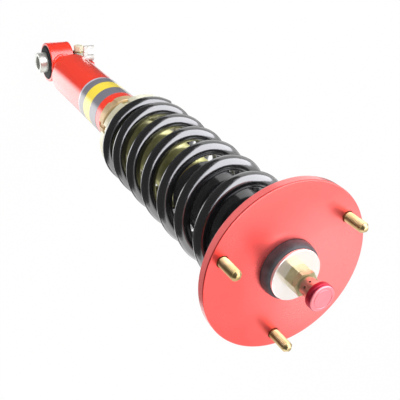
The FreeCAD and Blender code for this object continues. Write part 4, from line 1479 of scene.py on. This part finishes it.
@dataclass
class LowerTube(SubAssembly):
    """Painted lower tube with its label, eye ring, weld and hose bracket."""

    body: ClassVar[str] = "lower_mount"
    radius: float = 25.0
    bore: float = 22.8
    foot: float = 55.0
    floor: float = 63.0
    top: float = 207.5
    ring_radius: float = 23.4
    ring_bore: float = 17.0
    ring_half: float = 14.0
    ring_cutter_half: float = 40.0
    label_low: float = 145.5
    label_high: float = 195.5
    label_bore: float = 24.95
    label_radius: float = 25.12
    label_edge: float = 0.05
    neck_radius: float = 13.4
    neck_flare: float = 2.0
    bead: float = 1.5
    bead_sides: int = 10
    bead_steps: int = 90
    bead_ripple: tuple[float, ...] = (1.12, 1.0, 0.893)
    hose_turn: float = 180.0
    hose_side: float = 12.5
    bolt_out: float = 21.0
    bolt_up: float = 17.0
    bolt_radius: float = 3.0
    bolt_low: float = -5.0
    bolt_high: float = 4.3
    head_flats: float = 10.2
    head_low: float = 4.2
    head_high: float = 10.6
    head_edge: float = 0.45
    washer_bore: float = 3.1
    washer_radius: float = 6.2
    washer_low: float = 3.05
    washer_high: float = 4.15
    small_edge: float = 0.3

    def paint(self, shape: Shape, name: str, *replaced: str, crease: float = CREASE) -> None:
        """Fits a piece in the tube's red paint."""
        self.fit(shape, name, "red_tube", TUBE_RED, *replaced, crease=crease)

    def build_tube(self) -> None:
        """Tube with a closed foot."""
        tube = Shape.turned([
            (0.0, self.foot), (self.radius, self.foot, 1.5), (self.radius, self.top, 0.6),
            (self.bore, self.top, 0.3), (self.bore, self.floor), (0.0, self.floor),
        ], steps=144)
        self.paint(tube, "red_tube_turned", "lower_tube")

    def build_neck(self) -> None:
        """Neck between the tube's foot and the ring, coped over the ring."""
        neck = Shape.turned([
            (0.0, 0.0), (self.neck_radius, 0.0), (self.neck_radius, self.foot - self.neck_flare, 1.0),
            (self.neck_radius + self.neck_flare, self.foot), (0.0, self.foot),
        ], steps=96)
        half = self.ring_cutter_half
        neck.cut(Shape.rod(self.ring_radius, -half, half, sides=144).turn(90, "Y"))
        self.paint(neck, "neck", "eye_neck")

    def build_label(self) -> None:
        """Plain banded label, wrapped round the tube."""
        label = Shape.ring(
            self.label_bore, self.label_radius, self.label_low, self.label_high,
            rim_edge=self.label_edge, steps=144,
        )
        self.fit(label, "label", "red_tube", LABEL)

    def build_ring(self) -> None:
        """Eye ring with eased edges."""
        ring = Shape.ring(
            self.ring_bore, self.ring_radius, -self.ring_half, self.ring_half, 0.4, 0.8, 128, Axis.EYE
        )
        self.paint(ring, "eye_ring_turned", "eye_ring")

    def saddle(self, turns: float) -> float:
        """Height of the ring's top under the neck's edge, part way round the neck."""
        across = self.neck_radius * math.sin(turns * FULL_TURN)
        return math.sqrt(self.ring_radius**2 - across**2)

    def build_weld(self) -> None:
        """Rippled weld bead where the neck meets the ring."""
        weld = Shape()
        bm = weld.bm
        start = (self.neck_radius, 0, self.saddle(0.0))
        place = Matrix.Translation(start) @ Matrix.Rotation(math.radians(90), 4, "X")
        bmesh.ops.create_circle(bm, cap_ends=True, segments=self.bead_sides, radius=self.bead, matrix=place)
        last = bm.faces[:]
        for step in range(self.bead_steps):
            climb = self.saddle((step + 1) / self.bead_steps) - self.saddle(step / self.bead_steps)
            last = weld.spin(last, FULL_TURN / self.bead_steps, 1, climb)
            verts = [item for item in last if isinstance(item, bmesh.types.BMVert)]
            middle = sum((v.co for v in verts), Vector()) / len(verts)
            swell = self.bead_ripple[step % len(self.bead_ripple)]
            bmesh.ops.scale(bm, vec=(swell, swell, swell), verts=verts, space=Matrix.Translation(-middle))
        weld.tidy()
        self.paint(weld, "weld", crease=80.0)

    def place_bolt(self, shape: Shape) -> Shape:
        """Lays an upright shape in the hose bracket's bolt hole.

        Args:
            shape: the shape, about the damper's axis.

        Returns:
            The same shape.
        """
        angle = math.radians(self.hose_turn)
        x = self.bolt_out * math.cos(angle) - self.hose_side * math.sin(angle)
        y = self.bolt_out * math.sin(angle) + self.hose_side * math.cos(angle)
        return shape.turn(-90, "X").turn(self.hose_turn).move(x, y, self.bolt_up)

    def build_bolt(self) -> None:
        """Hexagon bolt of the hose bracket and the gold washer under its head."""
        bolt = Shape.turned([
            (0.0, self.bolt_low), (self.bolt_radius, self.bolt_low, self.small_edge),
            (self.bolt_radius, self.bolt_high), (0.0, self.bolt_high),
        ], steps=48)
        head = Shape.rod(self.head_flats / math.sqrt(3), self.head_low, self.head_high, sides=6)
        bolt.join(head.soften(self.head_edge))
        self.fit(
            self.place_bolt(bolt), "hose_bolt", "bare_steel", BOLT_ZINC, "bracket_bolt", crease=30.0
        )
        washer = Shape.ring(
            self.washer_bore, self.washer_radius, self.washer_low, self.washer_high,
            rim_edge=self.small_edge, steps=48,
        )
        self.fit(self.place_bolt(washer), "hose_washer", "gold_zinc", GOLD_ZINC)

    def build(self) -> None:
        """Builds the painted pieces and the bolt, and dresses the lug and the bracket."""
        self.build_tube()
        self.build_neck()
        self.build_label()
        self.build_ring()
        self.build_weld()
        self.build_bolt()
        self.dress(TUBE_RED, "hose_lug")
        self.dress(BRACKET_ZINC, "hose_bracket")


@dataclass
class EyeBush(SubAssembly):
    """Rubber bush with a lip on each face of the ring, and its steel sleeve."""

    body: ClassVar[str] = "lower_mount"
    inner: float = 12.05
    outer: float = 16.95
    lip: float = 20.6
    lip_top: float = 18.8
    face: float = 14.05
    reach: float = 15.4
    edge: float = 0.4
    lip_edge: float = 0.8
    sleeve_radius: float = 12.0
    sleeve_bore: float = 8.1
    sleeve_half: float = 25.0

    def build(self) -> None:
        """Builds the bush and the sleeve."""
        bush = Shape.turned([
            (self.inner, -self.reach, self.edge), (self.inner, self.reach, self.edge),
            (self.lip_top, self.reach, self.lip_edge), (self.lip, self.face, self.edge),
            (self.outer, self.face), (self.outer, -self.face),
            (self.lip, -self.face, self.edge), (self.lip_top, -self.reach, self.lip_edge),
        ], steps=112, axis=Axis.EYE)
        self.fit(bush, "bush", "black_rubber", BUSH_RUBBER_SHADED, "eye_bush")
        half = self.sleeve_half
        sleeve = Shape.ring(self.sleeve_bore, self.sleeve_radius, -half, half, 0.5, 0.8, axis=Axis.EYE)
        self.fit(sleeve, "sleeve", "bare_steel", PALE_ZINC, "eye_sleeve", body="bush_sleeve")


# Studio, in metres but for the cards and the floor


SPRING = (0.0, 0.0, 0.37)
SHEEN_ONLY = ("camera", "diffuse")


def hide_from(piece: bpy.types.Object, *rays: str) -> None:
    """Hides an object from some kinds of ray."""
    for ray in rays:
        setattr(piece, f"visible_{ray}", False)


@dataclass
class Softbox:
    """A large area lamp that faces the strut."""

    name: str
    place: Place
    width: float
    height: float
    power: float
    target: Place = (0.0, 0.0, 0.3)
    hidden: tuple[str, ...] = ("camera", "glossy")
    colour: Colour = (1.0, 1.0, 1.0)

    def build(self) -> None:
        """Hangs the lamp."""
        data = bpy.data.lights.new(self.name, "AREA")
        data.shape = "RECTANGLE"
        data.size = self.width
        data.size_y = self.height
        data.energy = self.power
        data.color = self.colour
        lamp = add_object(self.name, data)
        lamp.location = self.place
        lamp.rotation_euler = (Vector(self.place) - Vector(self.target)).to_track_quat("Z", "Y").to_euler()
        hide_from(lamp, *self.hidden)


@dataclass
class Card:
    """A curved card that only reflections show, as photographers hang round glossy metal."""

    name: str
    radius: float
    low: float
    high: float
    first: float
    last: float
    inner: Optional[float] = None
    shade: float = 0.1
    last_shade: Optional[float] = None

    def brightness(self, shader: Shader) -> Wire:
        """Brightness of the cloth.

        Args:
            shader: the card's node tree.

        Returns:
            An even grey, or one that rises softly at the first edge and fades to the last.
        """
        spot = shader.place()
        weave = shader.noise(spot, 40.0, 2.0) * 0.1 + 0.95
        if self.last_shade is None:
            return weave * self.shade
        x, y, _ = shader.split(spot)
        turn = shader.node("ShaderNodeMath", {"operation": "ARCTAN2"}, {0: y, 1: x})
        share = (turn - math.radians(self.first)) / math.radians(self.last - self.first)
        fade = share * (self.last_shade - self.shade) + self.shade
        return weave * fade * share.above(0.13, 0.26)

    def build(self) -> None:
        """Hangs the card: an upright arc, or a flat one where the inner radius is given."""
        shape = Shape()
        start = self.radius if self.inner is None else self.inner
        ends = [shape.bm.verts.new(end) for end in ((start, 0, self.low), (self.radius, 0, self.high))]
        shape.bm.edges.new(ends)
        shape.spin(shape.everything(), math.radians(self.last - self.first))
        card = shape.turn(self.first).piece(self.name)
        material, shader = Shader.of_new_material(self.name)
        shader.finish(shader.glow(self.brightness(shader)))
        card.data.materials.append(material)
        hide_from(card, "camera", "diffuse", "transmission", "volume_scatter", "shadow")


@dataclass
class Studio:
    """Camera, pale floor, white surround and soft lamps."""

    camera_place: Place = (0.26159, -0.25827, 0.82012)
    camera_right: Place = (-0.87892, -0.07046, 0.47174)
    camera_up: Place = (-0.16254, -0.88559, -0.43510)
    camera_back: Place = (0.44843, -0.45909, 0.76691)
    lens: float = 63.19
    sensor: float = 36.0
    floor_radius: float = 6000.0
    floor_height: float = -23.6
    floor_tints: tuple[Colour, Colour] = ((0.86, 0.86, 0.86), (0.88, 0.88, 0.88))
    floor_white: float = 0.96
    ambient: float = 0.85
    lamps: tuple[Softbox, ...] = (
        Softbox("key", (-0.25, -1.10, 1.30), 0.8, 0.8, 9.0),
        Softbox("side", (0.30, 0.95, 0.25), 0.5, 0.7, 2.0, target=(0.0, 0.0, 0.12)),
        Softbox("low", (0.35, -0.85, 0.10), 0.5, 0.5, 2.5, target=(0.0, 0.0, 0.10)),
        Softbox("sky_strip", (-0.746, -0.672, 1.485), 2.5, 3.4, 115.0, SPRING, SHEEN_ONLY, (0.93, 0.93, 1.0)),
    )
    cards: tuple[Card, ...] = (
        Card("floor_card", 2500.0, -22.5, -22.5, 250.0, 435.0, inner=30.0),
        Card("near_card", 180.0, -22.5, -22.5, 190.0, 250.0, inner=30.0),
        Card("rear_card", 600.0, -22.5, -22.5, 115.0, 185.0, inner=150.0),
        Card("front_card", 2500.0, -22.5, 6000.0, 262.0, 405.0),
        Card("left_card", 900.0, -22.0, 1800.0, 50.0, 110.0, shade=2.0),
        Card("floor_glow", 215.0, -22.0, -22.0, -25.0, 90.0, inner=30.0, shade=3.3, last_shade=0.8),
    )

    def build_camera(self) -> None:
        """Camera at the photograph's place."""
        data = bpy.data.cameras.new("camera")
        data.lens = self.lens
        data.sensor_width = self.sensor
        camera = add_object("camera", data)
        turned = Matrix((self.camera_right, self.camera_up, self.camera_back)).transposed()
        camera.matrix_world = Matrix.Translation(self.camera_place) @ turned.to_4x4()
        bpy.context.scene.camera = camera

    @staticmethod
    def seen(shader: Shader) -> Wire:
        """Tells the rays that look at the surround: straight, by reflection or through glass.

        Args:
            shader: the node tree that asks.

        Returns:
            1 for such rays and 0 for others.
        """
        path = shader.node("ShaderNodeLightPath", output="Is Camera Ray")
        glossy, through = (shader.other(path, f"Is {kind} Ray") for kind in ("Glossy", "Transmission"))
        return path.most(glossy).most(through)

    def build_world(self) -> None:
        """White surround that lights the strut at a lower level."""
        world = bpy.data.worlds.new("surround")
        world.use_nodes = True
        bpy.context.scene.world = world
        shader = Shader(world.node_tree)
        level = self.ambient + self.seen(shader) * (1.0 - self.ambient)
        light = shader.node("ShaderNodeBackground", inputs={"Color": WHITE, "Strength": level})
        shader.node("ShaderNodeOutputWorld", inputs={"Surface": light})

    def build_floor(self) -> None:
        """Pale round floor that keeps a faint shadow."""
        shape = Shape()
        bmesh.ops.create_circle(shape.bm, cap_ends=True, segments=96, radius=self.floor_radius)
        floor = shape.move(z=self.floor_height).piece("floor")
        material, shader = Shader.of_new_material("floor_white")
        paper = shader.blend(shader.noise(shader.place(), 3.0, 2.0), *self.floor_tints)
        matt = shader.node("ShaderNodeBsdfPrincipled", inputs={"Base Color": paper, "Roughness": 0.9})
        share = self.seen(shader) * self.floor_white
        shader.finish(shader.node("ShaderNodeMixShader", inputs={0: share, 1: matt, 2: shader.glow(WHITE)}))
        floor.data.materials.append(material)

    def build(self) -> None:
        """Sets the studio up."""
        self.build_camera()
        self.build_world()
        self.build_floor()
        for prop in (*self.lamps, *self.cards):
            prop.build()
        bpy.context.scene.view_settings.view_transform = "Standard"


def main() -> None:
    """Builds the sub-assemblies and the studio."""
    logging.basicConfig(level=logging.INFO, format="%(name)s %(relativeCreated)d ms: %(message)s")
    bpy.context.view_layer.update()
    for part in (
        TopPlate(), RubberMount(), RodTop(), RodGroup(), CoilSpring(), PerchAndRings(), Damper(),
        LowerTube(), EyeBush(), Studio(),
    ):
        part.build()
        log.info("%s done", type(part).__name__)


if __name__ == "__main__":
    main()
